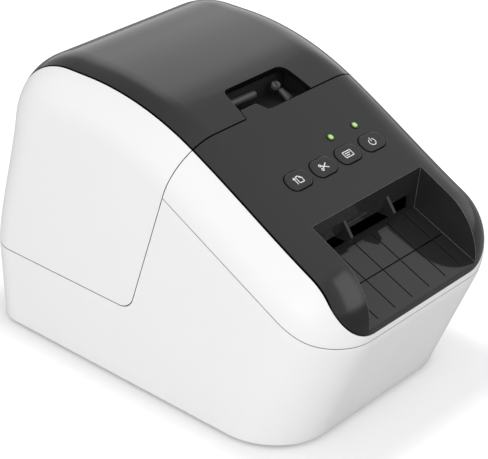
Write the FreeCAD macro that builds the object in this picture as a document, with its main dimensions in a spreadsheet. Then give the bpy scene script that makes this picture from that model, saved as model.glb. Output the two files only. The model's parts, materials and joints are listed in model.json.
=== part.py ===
# Desktop thermal label printer, in millimetres.
# +X is the right of a person facing the front, -Y is the front, +Z is up.
# The origin is on the ground below the middle of the case.
import FreeCAD
import Part
import Sketcher
import math
import os
import re

doc = FreeCAD.newDocument("label_printer")
sizes = doc.addObject("Spreadsheet::Sheet", "Sizes")

SIZE_ROWS = [
    # case form
    ("case_width", 125.3, "overall width"),
    ("case_depth", 211.0, "overall depth, nose to back"),
    ("case_top", 143.0, "height of the crown above the ground"),
    ("foot_height", 1.8, "case bottom above the ground"),
    ("wall", 2.4, "thickness of the moulded walls"),
    ("front_undercut", 24.3, "front bottom edge behind the nose"),
    ("rear_undercut", 1.0, "rear bottom edge in front of the back"),
    ("lip_height", 59.9, "height where the front face turns upright"),
    ("lip_round", 32.0, "rounding of that turn"),
    ("nose_round", 30.0, "rounding from the panel slope to the nose"),
    ("panel_angle", 27.0, "slope of the control panel in degrees"),
    ("panel_run", 82.86, "length of the panel slope behind the nose"),
    ("panel_top_rise", 40.05, "rear end of the panel slope above the label path"),
    ("crown_round", 137.0, "rounding from the panel slope to the crown"),
    ("rear_lean", 12.0, "forward lean of the upper back in degrees"),
    ("rear_break", 42.0, "height where the back starts to lean"),
    ("rear_break_round", 60.0, "rounding of that break"),
    ("rear_top_round", 40.0, "rounding from the crown to the back"),
    ("shoulder_round", 23.3, "rounding from the sides to the top"),
    ("front_corner_round", 28.5, "upright front corners"),
    ("rear_corner_round", 17.2, "upright rear corners"),
    ("seam_gap", 0.4, "open joint between case pieces"),
    ("flange", 1.6, "thickness of the joint flanges inside the walls"),
    ("flange_reach", 2.5, "reach of a flange past its joint"),
    ("move_gap", 0.3, "free space beside moving pieces"),
    ("running_fit", 0.05, "radial play of a turning shaft"),
    # roll cover
    ("cover_edge_in", 91.14, "upper front corner of the cover side, behind the nose"),
    ("cover_edge_rise", 16.28, "upper front corner of the cover side above the label path"),
    ("cover_edge_lean", 19.2, "lean of the front edge of the cover in degrees"),
    ("cover_sill", 40.6, "height of the lower edge of the cover"),
    ("cover_corner_round", 9.5, "lower front corner of the cover"),
    ("lid_half", 51.5, "half width of the dark lid and panel"),
    ("hinge_radius", 4.0, "radius of the hinge knuckles"),
    ("hinge_pin_radius", 1.5, "radius of the hinge pins"),
    ("knuckle_start", 30.0, "inner end of a cover knuckle"),
    ("knuckle_length", 16.0, "length of a cover knuckle"),
    ("ear_length", 6.0, "length of a base knuckle"),
    ("window_left", -16.9, "left edge of the lid window at its rear"),
    ("window_right", 21.3, "right edge of the lid window at its rear"),
    ("window_in", 99.2, "rear edge of the lid window, behind the nose"),
    ("window_flare_left", 4.0, "widening of the window toward the seam on the left"),
    ("window_flare_right", 2.8, "widening of the window toward the seam on the right"),
    ("window_round_left", 3.6, "rounding of the left rear corner of the window"),
    ("window_round_right", 4.8, "rounding of the right rear corner of the window"),
    ("tongue_width", 10.0, "width of the panel tongue in the window"),
    ("tongue_reach", 4.4, "reach of the panel tongue past the seam"),
    ("tongue_gap", 0.4, "gap between the panel tongue and the left edge of the window"),
    # front shell and panel outline
    ("front_seam_slope", 28.2, "slope of the side seam in degrees"),
    ("front_seam_bend", 14.5, "where the side seam flattens, behind the nose"),
    ("front_seam_nose_slope", 15.5, "slope of the seam round the nose in degrees"),
    ("front_seam_round", 40.0, "rounding of that bend"),
    ("panel_lip_drop", 25.1, "lower edge of the dark panel below the label path"),
    ("panel_lip_round", 19.0, "rounding of the lower panel corners"),
    # label tray
    ("tray_half", 36.7, "half width of the label tray"),
    ("tray_depth", 31.7, "upper edge of the tray back wall, behind the nose"),
    ("tray_lean", 2.5, "lower edge of that wall behind its upper edge"),
    ("tray_floor_drop", 21.8, "tray floor at the nose, below the label path"),
    ("tray_floor_slope", 23.5, "slope of the tray floor in degrees"),
    ("tray_wall", 2.0, "thickness of the tray walls"),
    ("tray_groove", 0.5, "width and depth of the lines in the floor"),
    ("tray_groove_pitch", 11.6, "spacing of those lines"),
    ("tray_cross_in", 17.9, "cross line of the tray floor, behind the nose"),
    ("slot_half", 33.0, "half width of the exit slot"),
    ("slot_rise", 2.3, "upper edge of the exit slot above the label path"),
    ("rib_offset", 14.5, "exit ribs left and right of the middle"),
    ("rib_width", 1.5, "thickness of an exit rib"),
    ("rib_reach", 3.8, "tip of an exit rib in front of the upper edge of the wall"),
    ("rib_top", 9.4, "upper end of an exit rib above the label path"),
    ("rib_tip", 1.2, "tip of an exit rib above the label path"),
    ("rib_low", 1.4, "underside of an exit rib below the label path"),
    ("rib_nose", 1.4, "underside of an exit rib behind its tip"),
    ("rib_tail", 1.5, "rear end of an exit rib behind the wall"),
    # buttons
    ("button_pitch", 16.3, "spacing of the buttons"),
    ("button_shift", 1.1, "button row right of the middle"),
    ("button_down", 36.25, "buttons below the panel seam, along the slope"),
    ("button_width", 13.4, "width of a button cap"),
    ("button_length", 9.0, "length of a button cap along the slope"),
    ("button_round", 3.9, "corner rounding of a button cap"),
    ("button_gap", 0.45, "gap round a button cap"),
    ("button_rise", 0.45, "button face above the panel"),
    ("button_travel", 0.7, "stroke of a button"),
    ("button_rim", 1.0, "width of the retaining rim"),
    ("button_rim_thick", 1.2, "thickness of the retaining rim"),
    ("stem_radius", 1.5, "radius of a button stem"),
    ("switch_size", 6.0, "width of a push switch"),
    ("switch_height", 3.5, "height of a push switch"),
    ("switch_floor", 0.4, "thickness below the bore of a push switch"),
    ("light_down", 25.4, "lights below the panel seam, along the slope"),
    ("light_radius", 1.7, "radius of a light pipe"),
    ("board_depth", 9.0, "button board below the panel face"),
    ("board_thick", 1.6, "thickness of the circuit boards"),
    ("board_up", 20.0, "upper end of the button board"),
    ("board_down", 43.4, "lower end of the button board"),
    ("board_half", 39.4, "half width of the button board"),
    ("post_radius", 2.4, "radius of the small screw posts"),
    ("screw_radius", 1.0, "radius of the small screws"),
    ("screw_length", 6.0, "thread length of the small screws"),
    # chassis
    ("chassis_half", 46.0, "half width inside the chassis plates"),
    ("plate", 1.5, "thickness of the chassis plates"),
    ("chassis_front_in", 36.5, "front edge of the chassis, behind the nose"),
    ("chassis_back_in", 99.5, "rear edge of the chassis, behind the nose"),
    ("chassis_base", 30.0, "underside of the chassis"),
    ("chassis_front_rise", 5.0, "front end of the chassis plates above the label path"),
    ("chassis_back_rise", 24.0, "rear end of the chassis plates above the label path"),
    ("path_height", 88.0, "height of the label path"),
    ("guide_thick", 1.6, "thickness of the label guide"),
    # platen and drive
    ("platen_in", 57.5, "platen axis behind the nose"),
    ("platen_radius", 7.0, "radius of the platen"),
    ("platen_half", 33.0, "half length of the platen sleeve"),
    ("platen_shaft", 3.0, "radius of the platen shaft"),
    ("bush_radius", 4.5, "outer radius of the platen bushes"),
    ("bush_flange", 6.0, "radius of the bush flanges"),
    ("gear_module", 0.8, "tooth module of the gears"),
    ("gear_width", 4.0, "face width of the gears"),
    ("platen_teeth", 24, "teeth of the platen gear"),
    ("idler_teeth", 30, "teeth of the idler gear"),
    ("pinion_teeth", 12, "teeth of the pinions"),
    ("tooth_play", 0.16, "play between meshing teeth"),
    ("idler_turn", -53.0, "direction from platen to idler in degrees"),
    ("motor_turn", -45.0, "direction from idler to motor in degrees"),
    ("stud_radius", 2.0, "radius of the idler stud"),
    ("motor_size", 35.0, "width of the feed motor"),
    ("motor_length", 22.0, "length of the feed motor"),
    ("motor_shaft", 1.5, "radius of the motor shafts"),
    # print head
    ("head_pivot_in", 88.5, "head pivot behind the nose"),
    ("head_pivot_rise", 9.0, "head pivot above the label path"),
    ("head_pivot_radius", 2.0, "radius of the head pivot"),
    ("head_front_in", 51.5, "front end of the head, behind the nose"),
    ("head_back_in", 65.5, "rear end of the heat sink, behind the nose"),
    ("head_half", 38.0, "half width of the head bracket"),
    ("head_strip", 1.3, "thickness of the heating strip"),
    ("head_sink", 4.2, "height of the heat sink"),
    ("spring_in", 73.5, "head springs behind the nose"),
    ("spring_x", 20.0, "head springs left and right of the middle"),
    ("spring_radius", 2.6, "outer radius of a head spring"),
    ("spring_wire", 0.45, "radius of the spring wire"),
    ("spring_length", 7.7, "length of the head springs"),
    ("bridge_thick", 2.0, "thickness of the spring bridge"),
    # cutter
    ("blade_in", 39.3, "front face of the moving blade, behind the nose"),
    ("blade_thick", 1.2, "thickness of the blades"),
    ("blade_half", 36.0, "half width of the moving blade"),
    ("blade_drop", 4.0, "edge of the moving blade below the label path at rest"),
    ("blade_height", 14.0, "height of the moving blade"),
    ("blade_stroke", 8.0, "stroke of the moving blade"),
    ("fixed_blade_rise", 1.5, "edge of the fixed blade above the label path"),
    ("fixed_blade_height", 8.0, "height of the fixed blade"),
    ("carrier_thick", 3.0, "thickness of the blade carrier"),
    ("carrier_drop", 26.0, "underside of the blade carrier below the label path"),
    ("carrier_half", 44.0, "half width of the blade carrier"),
    ("rack_x", -38.0, "left side of the rack"),
    ("rack_pinion_drop", 32.0, "cutter pinion below the label path"),
    ("rack_back", 3.4, "back of the rack behind the carrier, to the pitch line"),
    ("cutter_motor_radius", 8.0, "radius of the cutter motor"),
    ("cutter_motor_length", 26.0, "length of the cutter motor"),
    # roll compartment
    ("bin_floor", 24.0, "underside of the roll bin"),
    ("bin_wall", 2.0, "thickness of the roll bin"),
    ("bin_rim", 39.6, "height of the roll bin rim"),
    ("bin_front_in", 104.5, "front of the roll bin, behind the nose"),
    ("bin_back_space", 9.0, "roll bin in front of the back of the case"),
    ("bin_side_space", 3.2, "roll bin inside the side walls"),
    ("bin_front_drop", 4.0, "front wall of the roll bin below the label path"),
    ("spool_side", 28.65, "inner face of a spool holder inside the side of the case"),
    ("spool_thick", 3.0, "thickness of a spool holder"),
    ("spool_in", 55.5, "spool axis in front of the back"),
    ("spool_z", 78.0, "spool axis height"),
    ("spool_slot", 6.0, "half width of the spool slot"),
    ("spool_half", 13.0, "half width of a spool holder"),
    # electronics
    ("board_lift", 8.0, "height of the board posts above the floor"),
    ("main_front_in", 33.5, "front edge of the main board, behind the nose"),
    ("main_back_in", 95.5, "rear edge of the main board, behind the nose"),
    ("main_half", 38.0, "half width of the main board"),
    ("power_front_in", 111.5, "front edge of the power board, behind the nose"),
    ("power_back_in", 23.5, "rear edge of the power board, in front of the back"),
    ("power_half", 44.0, "half width of the power board"),
    ("power_lift", 3.4, "height of the power board posts above the floor"),
    ("inlet_in", 31.65, "mains inlet inside the right side"),
    ("inlet_width", 26.0, "width of the mains inlet"),
    ("inlet_height", 15.0, "height of the mains inlet"),
    ("inlet_depth", 20.0, "depth of the mains inlet"),
    ("port_z", 14.5, "height of the sockets in the back"),
    ("usb_in", 36.65, "data socket inside the left side"),
    ("usb_width", 12.0, "width of the data socket"),
    ("usb_height", 11.0, "height of the data socket"),
    ("usb_depth", 17.0, "depth of the data socket"),
    ("inlet_recess", 14.0, "depth of the recess in the mains inlet"),
    ("inlet_pin_offset", 4.3, "inlet pins left and right of the inlet middle"),
    ("inlet_lobe", 4.4, "radius of the round ends of that recess"),
    ("inlet_neck", 3.2, "half height of the recess between its ends"),
    ("inlet_pin_radius", 1.2, "radius of an inlet pin"),
    ("inlet_pin_short", 3.0, "pin ends inside the face of the inlet"),
    ("usb_wall", 1.0, "thickness of the data socket walls"),
    ("usb_tongue_half", 2.8, "half width of the tongue in the data socket"),
    ("usb_tongue_rise", 1.6, "half height of that tongue"),
    ("usb_tongue_short", 5.0, "tongue end inside the face of the socket"),
    ("board_inset", 5.0, "screws inside the side edges of the large boards"),
    ("board_end_inset", 6.0, "screws inside the ends of the large boards"),
    ("power_grip", 3.0, "thread of the power board screws below the board"),
    # feet and screws
    ("foot_radius", 7.0, "radius of a rubber foot"),
    ("foot_sink", 0.6, "depth of the foot recesses"),
    ("foot_x", 46.0, "feet left and right of the middle"),
    ("foot_front_in", 39.5, "front feet behind the nose"),
    ("foot_back_in", 21.5, "rear feet in front of the back"),
    ("chassis_post_x", 42.5, "chassis posts left and right of the middle"),
    ("chassis_post_radius", 3.2, "radius of the chassis posts"),
    ("post_front_in", 52.5, "front chassis posts behind the nose"),
    ("post_back_in", 95.5, "rear chassis posts behind the nose"),
    ("bin_post_in", 12.65, "roll bin posts inside the sides of the case"),
]

row = 1
for alias, value, meaning in SIZE_ROWS:
    sizes.set("A%d" % row, meaning)
    sizes.set("B%d" % row, str(value))
    sizes.setAlias("B%d" % row, alias)
    row += 1
doc.recompute()

NAMES = set(item[0] for item in SIZE_ROWS)
VECTOR = FreeCAD.Vector

# Places worked out from the sizes: along the depth from the nose or the back, and up from the label path.
PLACES = {
    "panel_top_y": "panel_run - case_depth / 2",
    "cover_edge_y": "cover_edge_in - case_depth / 2",
    "window_back": "window_in - case_depth / 2",
    "front_seam_break": "front_seam_bend - case_depth / 2",
    "tray_back": "tray_depth - case_depth / 2",
    "tray_cross_line": "tray_cross_in - case_depth / 2",
    "chassis_front": "chassis_front_in - case_depth / 2",
    "chassis_back": "chassis_back_in - case_depth / 2",
    "platen_y": "platen_in - case_depth / 2",
    "head_pivot_y": "head_pivot_in - case_depth / 2",
    "head_front": "head_front_in - case_depth / 2",
    "head_back": "head_back_in - case_depth / 2",
    "spring_y": "spring_in - case_depth / 2",
    "blade_y": "blade_in - case_depth / 2",
    "bin_front": "bin_front_in - case_depth / 2",
    "main_front": "main_front_in - case_depth / 2",
    "main_back": "main_back_in - case_depth / 2",
    "power_front": "power_front_in - case_depth / 2",
    "foot_front": "foot_front_in - case_depth / 2",
    "chassis_post_front": "post_front_in - case_depth / 2",
    "chassis_post_back": "post_back_in - case_depth / 2",
    "spool_y": "case_depth / 2 - spool_in",
    "power_back": "case_depth / 2 - power_back_in",
    "foot_back": "case_depth / 2 - foot_back_in",
    "chassis_front_top": "path_height + chassis_front_rise",
    "chassis_back_top": "path_height + chassis_back_rise",
    "head_pivot_z": "path_height + head_pivot_rise",
    "fixed_blade_low": "path_height + fixed_blade_rise",
    "blade_top": "path_height - blade_drop",
    "carrier_low": "path_height - carrier_drop",
    "rack_pinion_z": "path_height - rack_pinion_drop",
    "slot_high": "path_height + slot_rise",
    "bin_front_top": "path_height - bin_front_drop",
    "bridge_height": "path_height + move_gap + head_strip + head_sink + plate + spring_length",
    "panel_top_z": "path_height + panel_top_rise",
    "cover_edge_z": "path_height + cover_edge_rise",
    "panel_lip": "path_height - panel_lip_drop",
    "tray_floor_front": "path_height - tray_floor_drop",
    "inlet_x": "case_width / 2 - inlet_in",
    "spool_x": "case_width / 2 - spool_side",
    "bin_post_x": "case_width / 2 - bin_post_in",
    "usb_x": "usb_in - case_width / 2",
}


def formula(text):
    """Write a formula of size and place names as an expression of the sheet."""
    def put(match):
        word = match.group(0)
        if word in PLACES:
            return "(%s)" % formula(PLACES[word])
        return "Sizes." + word if word in NAMES else word
    return re.sub(r"[a-z][a-z_0-9]*", put, str(text))


def number(text):
    """Value of a formula of size and place names."""
    found = sizes.evalExpression(formula(text))
    return float(getattr(found, "Value", found))


# Derived formulas shared by several pieces.
FRONT = "(0 - case_depth / 2)"
BACK = "(case_depth / 2)"
SIDE = "(case_width / 2)"
FLOOR = "(foot_height + wall)"
PANEL_COS = "cos(panel_angle * 1 deg)"
PANEL_SIN = "sin(panel_angle * 1 deg)"
HINGE_Y = "(case_depth / 2 - hinge_radius)"
HINGE_Z = "(cover_sill + hinge_radius)"
PLATEN_Z = "(path_height - platen_radius)"
PLATEN_GEAR = "(gear_module * platen_teeth / 2)"
IDLER_GEAR = "(gear_module * idler_teeth / 2)"
PINION_GEAR = "(gear_module * pinion_teeth / 2)"
IDLER_Y = "(platen_y + (%s + %s) * cos(idler_turn * 1 deg))" % (PLATEN_GEAR, IDLER_GEAR)
IDLER_Z = "(%s + (%s + %s) * sin(idler_turn * 1 deg))" % (PLATEN_Z, PLATEN_GEAR, IDLER_GEAR)
MOTOR_Y = "(%s + (%s + %s) * cos(motor_turn * 1 deg))" % (IDLER_Y, IDLER_GEAR, PINION_GEAR)
MOTOR_Z = "(%s + (%s + %s) * sin(motor_turn * 1 deg))" % (IDLER_Z, IDLER_GEAR, PINION_GEAR)
GEAR_X = "(chassis_half + plate + 1)"
HEAD_LOW = "(path_height + move_gap)"
SINK_LOW = "(%s + head_strip)" % HEAD_LOW
SINK_TOP = "(%s + head_sink)" % SINK_LOW
BLADE_BACK = "(blade_y + blade_thick)"
CARRIER_BACK = "(blade_y + blade_thick + carrier_thick)"
RACK_PITCH_Y = "(%s + rack_back)" % CARRIER_BACK
CUTTER_Y = "(%s + %s)" % (RACK_PITCH_Y, PINION_GEAR)
BOARD_Z = "(%s + board_lift)" % FLOOR
POWER_Z = "(%s + power_lift)" % FLOOR
BIN_SIDE = "(%s - wall - bin_side_space)" % SIDE
BIN_BACK = "(%s - bin_back_space)" % BACK


def add(kind, name):
    return doc.addObject(kind, name)


def box(name, x, y, z):
    """Block between two formulas on each axis."""
    item = add("Part::Box", name)
    item.setExpression("Length", formula("(%s) - (%s)" % (x[1], x[0])))
    item.setExpression("Width", formula("(%s) - (%s)" % (y[1], y[0])))
    item.setExpression("Height", formula("(%s) - (%s)" % (z[1], z[0])))
    item.setExpression(".Placement.Base.x", formula(x[0]))
    item.setExpression(".Placement.Base.y", formula(y[0]))
    item.setExpression(".Placement.Base.z", formula(z[0]))
    return item


TURNS = {
    "X": FreeCAD.Rotation(VECTOR(0, 1, 0), 90),
    "Y": FreeCAD.Rotation(VECTOR(1, 0, 0), -90),
    "Z": FreeCAD.Rotation(),
}


def rod(name, axis, start, length, radius):
    """Cylinder that starts at a point and runs along +X, +Y or +Z."""
    item = add("Part::Cylinder", name)
    item.Placement = FreeCAD.Placement(VECTOR(0, 0, 0), TURNS[axis])
    item.setExpression("Radius", formula(radius))
    item.setExpression("Height", formula(length))
    item.setExpression(".Placement.Base.x", formula(start[0]))
    item.setExpression(".Placement.Base.y", formula(start[1]))
    item.setExpression(".Placement.Base.z", formula(start[2]))
    return item


def fuse(name, items):
    item = add("Part::MultiFuse", name)
    item.Shapes = items
    return item


def cut(name, base, tools):
    item = add("Part::Cut", name)
    item.Base = base
    item.Tool = tools[0] if len(tools) == 1 else fuse(name + "_tools", tools)
    return item


def common(name, first, second):
    item = add("Part::Common", name)
    item.Base = first
    item.Tool = second
    return item


def rounded_wire(points, radii):
    """Closed outline through corner points, each corner rounded as far as its two runs allow."""
    count = len(points)
    angles = []
    shares = [1.0] * count
    for index in range(count):
        before = points[index - 1] - points[index]
        after = points[(index + 1) % count] - points[index]
        angles.append(before.getAngle(after))
    reaches = [radii[index] / math.tan(angles[index] / 2) for index in range(count)]
    for index in range(count):
        following = (index + 1) % count
        run = (points[following] - points[index]).Length
        wanted = reaches[index] + reaches[following]
        if wanted > run:
            shares[index] = min(shares[index], run / wanted)
            shares[following] = min(shares[following], run / wanted)
    corners = []
    for index in range(count):
        corner = points[index]
        radius = radii[index] * shares[index]
        if radius <= 0:
            corners.append((corner, None, corner))
            continue
        before = (points[index - 1] - corner).normalize()
        after = (points[(index + 1) % count] - corner).normalize()
        reach = reaches[index] * shares[index]
        middle = (before + after).normalize()
        centre = corner + middle * (radius / math.sin(angles[index] / 2))
        corners.append((corner + before * reach, centre - middle * radius, corner + after * reach))
    edges = []
    for index in range(count):
        start, bulge, end = corners[index]
        if bulge is not None:
            edges.append(Part.Arc(start, bulge, end).toShape())
        following = corners[(index + 1) % count][0]
        if (following - end).Length > 1e-6:
            edges.append(Part.LineSegment(end, following).toShape())
    return Part.Wire(edges)


def prism(name, axis, corners, low, high):
    """Outline with rounded corners, drawn across an axis and drawn out along it."""
    points = []
    radii = []
    start = number(low)
    reach = number(high) - start
    for corner in corners:
        first = number(corner[0])
        second = number(corner[1])
        if axis == "X":
            points.append(VECTOR(start, first, second))
        elif axis == "Y":
            points.append(VECTOR(first, start, second))
        else:
            points.append(VECTOR(first, second, start))
        radii.append(number(corner[2]) if len(corner) > 2 else 0.0)
    along = {"X": VECTOR(reach, 0, 0), "Y": VECTOR(0, reach, 0), "Z": VECTOR(0, 0, reach)}[axis]
    item = add("Part::Feature", name)
    item.Shape = Part.Face(rounded_wire(points, radii)).extrude(along)
    return item


def tilted(item, x, down, depth):
    """Bind a piece to the panel slope: distance down the slope and depth below the face."""
    item.Placement = FreeCAD.Placement(VECTOR(0, 0, 0), FreeCAD.Rotation(VECTOR(1, 0, 0), 1))
    item.setExpression(".Placement.Rotation.Angle", formula("panel_angle * 1 deg"))
    item.setExpression(".Placement.Base.x", formula(x))
    along = "panel_top_y - (%s) * %s + (%s) * %s" % (down, PANEL_COS, depth, PANEL_SIN)
    up = "panel_top_z - (%s) * %s - (%s) * %s" % (down, PANEL_SIN, depth, PANEL_COS)
    item.setExpression(".Placement.Base.y", formula(along))
    item.setExpression(".Placement.Base.z", formula(up))
    return item


def slope_box(name, x, down, depth):
    """Block in the panel slope: across, down the slope and below the face."""
    item = add("Part::Box", name)
    item.setExpression("Length", formula("(%s) - (%s)" % (x[1], x[0])))
    item.setExpression("Width", formula("(%s) - (%s)" % (down[1], down[0])))
    item.setExpression("Height", formula("(%s) - (%s)" % (depth[1], depth[0])))
    return tilted(item, x[0], down[1], depth[1])


def slope_opening(name, x, down, half_width, half_length, radius, depth):
    """Rounded rectangle through the panel slope, round a place on it."""
    wide = number(half_width)
    long = number(half_length)
    points = [VECTOR(-wide, -long, 0), VECTOR(wide, -long, 0), VECTOR(wide, long, 0), VECTOR(-wide, long, 0)]
    item = add("Part::Feature", name)
    face = Part.Face(rounded_wire(points, [number(radius)] * 4))
    item.Shape = face.extrude(VECTOR(0, 0, number(depth[1]) - number(depth[0])))
    return tilted(item, x, down, depth[1])


def slope_rod(name, x, down, depth, radius):
    """Cylinder square to the panel slope between two depths."""
    item = add("Part::Cylinder", name)
    item.setExpression("Radius", formula(radius))
    item.setExpression("Height", formula("(%s) - (%s)" % (depth[1], depth[0])))
    return tilted(item, x, down, depth[1])


def new_body(name, place=("0", "0", "0"), turn=None):
    body = add("PartDesign::Body", name)
    body.Placement = FreeCAD.Placement(VECTOR(0, 0, 0), turn or FreeCAD.Rotation())
    body.setExpression(".Placement.Base.x", formula(place[0]))
    body.setExpression(".Placement.Base.y", formula(place[1]))
    body.setExpression(".Placement.Base.z", formula(place[2]))
    return body


def new_sketch(body, role, name):
    sketch = body.newObject("Sketcher::SketchObject", name)
    plane = [item for item in body.Origin.OriginFeatures if item.Role == role][0]
    sketch.AttachmentSupport = (plane, [""])
    sketch.MapMode = "FlatFace"
    return sketch


def bind(sketch, kind, geometry, vertex, text):
    index = sketch.addConstraint(Sketcher.Constraint(kind, -1, 1, geometry, vertex, number(text)))
    sketch.setExpression("Constraints[%d]" % index, formula(text))


def outline(sketch, corners):
    """Closed chain of lines with both coordinates of every corner bound."""
    count = len(corners)
    points = [VECTOR(number(corner[0]), number(corner[1]), 0) for corner in corners]
    first = sketch.GeometryCount
    for index in range(count):
        line = Part.LineSegment(points[index], points[(index + 1) % count])
        sketch.addGeometry(line, False)
    for index in range(count):
        here = first + index
        following = first + (index + 1) % count
        sketch.addConstraint(Sketcher.Constraint("Coincident", here, 2, following, 1))
    for index in range(count):
        bind(sketch, "DistanceX", first + index, 1, corners[index][0])
        bind(sketch, "DistanceY", first + index, 1, corners[index][1])


def ring(sketch, centre, radius):
    """Circle with bound centre and radius."""
    middle = VECTOR(number(centre[0]), number(centre[1]), 0)
    index = sketch.addGeometry(Part.Circle(middle, VECTOR(0, 0, 1), number(radius)), False)
    bind(sketch, "DistanceX", index, 3, centre[0])
    bind(sketch, "DistanceY", index, 3, centre[1])
    size = sketch.addConstraint(Sketcher.Constraint("Radius", index, number(radius)))
    sketch.setExpression("Constraints[%d]" % size, formula(radius))


def pad(body, sketch, name, length):
    feature = body.newObject("PartDesign::Pad", name)
    feature.Profile = sketch
    feature.setExpression("Length", formula(length))
    body.Tip = feature
    return feature


def revolve(body, sketch, name):
    feature = body.newObject("PartDesign::Revolution", name)
    feature.Profile = sketch
    feature.ReferenceAxis = (sketch, ["V_Axis"])
    feature.Angle = 360.0
    body.Tip = feature
    return feature


def plate_body(name, x, y, z):
    """Plain plate made by padding a bound rectangle upward."""
    body = new_body(name, ("0", "0", z[0]))
    sketch = new_sketch(body, "XY_Plane", name + "_outline")
    outline(sketch, [(x[0], y[0]), (x[1], y[0]), (x[1], y[1]), (x[0], y[1])])
    pad(body, sketch, name + "_pad", "(%s) - (%s)" % (z[1], z[0]))
    return body


def turned_body(name, place, turn, corners):
    """Round piece: half outline of radius and length, turned round its own axis."""
    body = new_body(name, place, turn)
    sketch = new_sketch(body, "XZ_Plane", name + "_outline")
    outline(sketch, corners)
    revolve(body, sketch, name + "_turn")
    return body


def gear_outline(teeth, bore_radius, phase):
    """Face of a spur gear with involute flanks and a bore."""
    module = number("gear_module")
    play = number("tooth_play")
    pressure = math.radians(25)
    pitch = module * teeth / 2
    base = pitch * math.cos(pressure)
    tip = pitch + 0.9 * module
    root = pitch - 1.15 * module
    half = math.pi / (2 * teeth) - play / (4 * pitch)
    start = max(base, root)
    involute = math.tan(pressure) - pressure
    flank = []
    for step in range(5):
        radius = start + (tip - start) * step / 4
        turn = math.acos(min(1.0, base / radius))
        flank.append((radius, half + involute - (math.tan(turn) - turn)))
    points = []
    for tooth in range(teeth):
        middle = phase + 2 * math.pi * tooth / teeth
        polar = [(root, -flank[0][1])] if root < start - 0.01 else []
        polar += [(radius, -angle) for radius, angle in flank]
        polar += [(radius, angle) for radius, angle in reversed(flank)]
        polar += [(root, flank[0][1])] if root < start - 0.01 else []
        for radius, angle in polar:
            points.append(VECTOR(0, radius * math.cos(middle + angle), radius * math.sin(middle + angle)))
    points.append(points[0])
    face = Part.Face(Part.makePolygon(points))
    if bore_radius > 0:
        hole = Part.makeCylinder(bore_radius, 2, VECTOR(-1, 0, 0), VECTOR(1, 0, 0))
        face = face.cut(hole)
    return face


def gear(name, centre, low, teeth, bore, phase):
    item = add("Part::Feature", name)
    count = int(round(number(teeth)))
    face = gear_outline(count, number(bore), phase)
    item.Shape = face.extrude(VECTOR(number("gear_width"), 0, 0))
    place = VECTOR(number(low), number(centre[0]), number(centre[1]))
    item.Placement = FreeCAD.Placement(place, FreeCAD.Rotation())
    return item


NODES = []


def node(name, item):
    """Name a finished piece."""
    item.Label = name
    NODES.append((name, item))
    return item


# Case form: the side outline drawn out across the width, with its long edges rounded.
def side_outline(inset):
    slope = math.tan(math.radians(number("panel_angle")))
    lean = math.tan(math.radians(number("rear_lean")))
    front = number(FRONT)
    back = number(BACK)
    top = number("case_top")
    low = number("foot_height")
    ridge = number("panel_top_y") + (top - number("panel_top_z")) / slope
    nose = number("panel_top_z") + slope * (front - number("panel_top_y"))
    heel = back - (top - number("rear_break")) * lean
    corners = [
        (front + number("front_undercut"), low, 0.0),
        (front, number("lip_height"), number("lip_round")),
        (front, nose, number("nose_round")),
        (ridge, top, number("crown_round")),
        (heel, top, number("rear_top_round")),
        (back, number("rear_break"), number("rear_break_round")),
        (back - number("rear_undercut"), low, 0.0),
    ]
    points = [VECTOR(0, corner[0], corner[1]) for corner in corners]
    face = Part.Face(rounded_wire(points, [corner[2] for corner in corners]))
    if inset > 0:
        face = face.makeOffset2D(-inset, 2)
    return face


def edge_radius(point, inset):
    """Edge rounding: wide at the nose, even over the crown and tight at the back."""
    if point.y < (number(FRONT) + number("panel_top_y")) / 2:
        return number("front_corner_round") - inset
    if point.z > (number("rear_break") + number("case_top")) / 2:
        return number("shoulder_round") - inset
    return number("rear_corner_round") - inset


def case_form(name, inset):
    half = number(SIDE) - inset
    raw = side_outline(inset).extrude(VECTOR(2 * half, 0, 0))
    raw.translate(VECTOR(-half, 0, 0))
    block = add("Part::Feature", name + "_block")
    block.Shape = raw
    low = number("foot_height") + inset
    rounds = []
    for index, edge in enumerate(raw.Edges, 1):
        start = edge.valueAt(edge.FirstParameter)
        end = edge.valueAt(edge.LastParameter)
        if abs(start.x - end.x) > 0.01:
            continue
        if max(start.z, end.z) < low + 0.01:
            continue
        rounds.append((index, edge_radius(start, inset), edge_radius(end, inset)))
    form = add("Part::Fillet", name)
    form.Base = block
    form.Edges = rounds
    doc.recompute()
    return form


outer_form = case_form("outer_form", 0.0)
inner_form = case_form("inner_form", number("wall"))
core_form = case_form("core_form", number("wall + flange"))
shell_layer = cut("shell_layer", outer_form, [inner_form])
flange_layer = cut("flange_layer", inner_form, [core_form])

# Region of the cover in the side view, drawn in or out by a gap.
EDGE_TAN = "tan(cover_edge_lean * 1 deg)"


def cover_region(name, gap, hinge_end):
    shift = "(%s) / cos(cover_edge_lean * 1 deg)" % gap
    upper = "case_top + 30"
    upper_y = "cover_edge_y - (%s - cover_edge_z) * %s + %s" % (upper, EDGE_TAN, shift)
    lower = "cover_sill + (%s)" % gap
    lower_y = "cover_edge_y + (cover_edge_z - (%s)) * %s + %s" % (lower, EDGE_TAN, shift)
    corners = [
        (upper_y, upper),
        (lower_y, lower, "cover_corner_round"),
    ]
    if hinge_end:
        corners.append(("%s - (%s)" % (BACK, gap), lower, "hinge_radius - (%s)" % gap))
        corners.append(("%s - (%s)" % (BACK, gap), HINGE_Z))
        corners.append(("%s + 30" % BACK, HINGE_Z))
    else:
        corners.append(("%s + 30" % BACK, lower))
    corners.append(("%s + 30" % BACK, upper))
    return prism(name, "X", corners, "0 - case_width", "case_width")


cover_space = cover_region("cover_space", "seam_gap / 2", True)
cover_room = cover_region("cover_room", "0 - seam_gap / 2", False)

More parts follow.
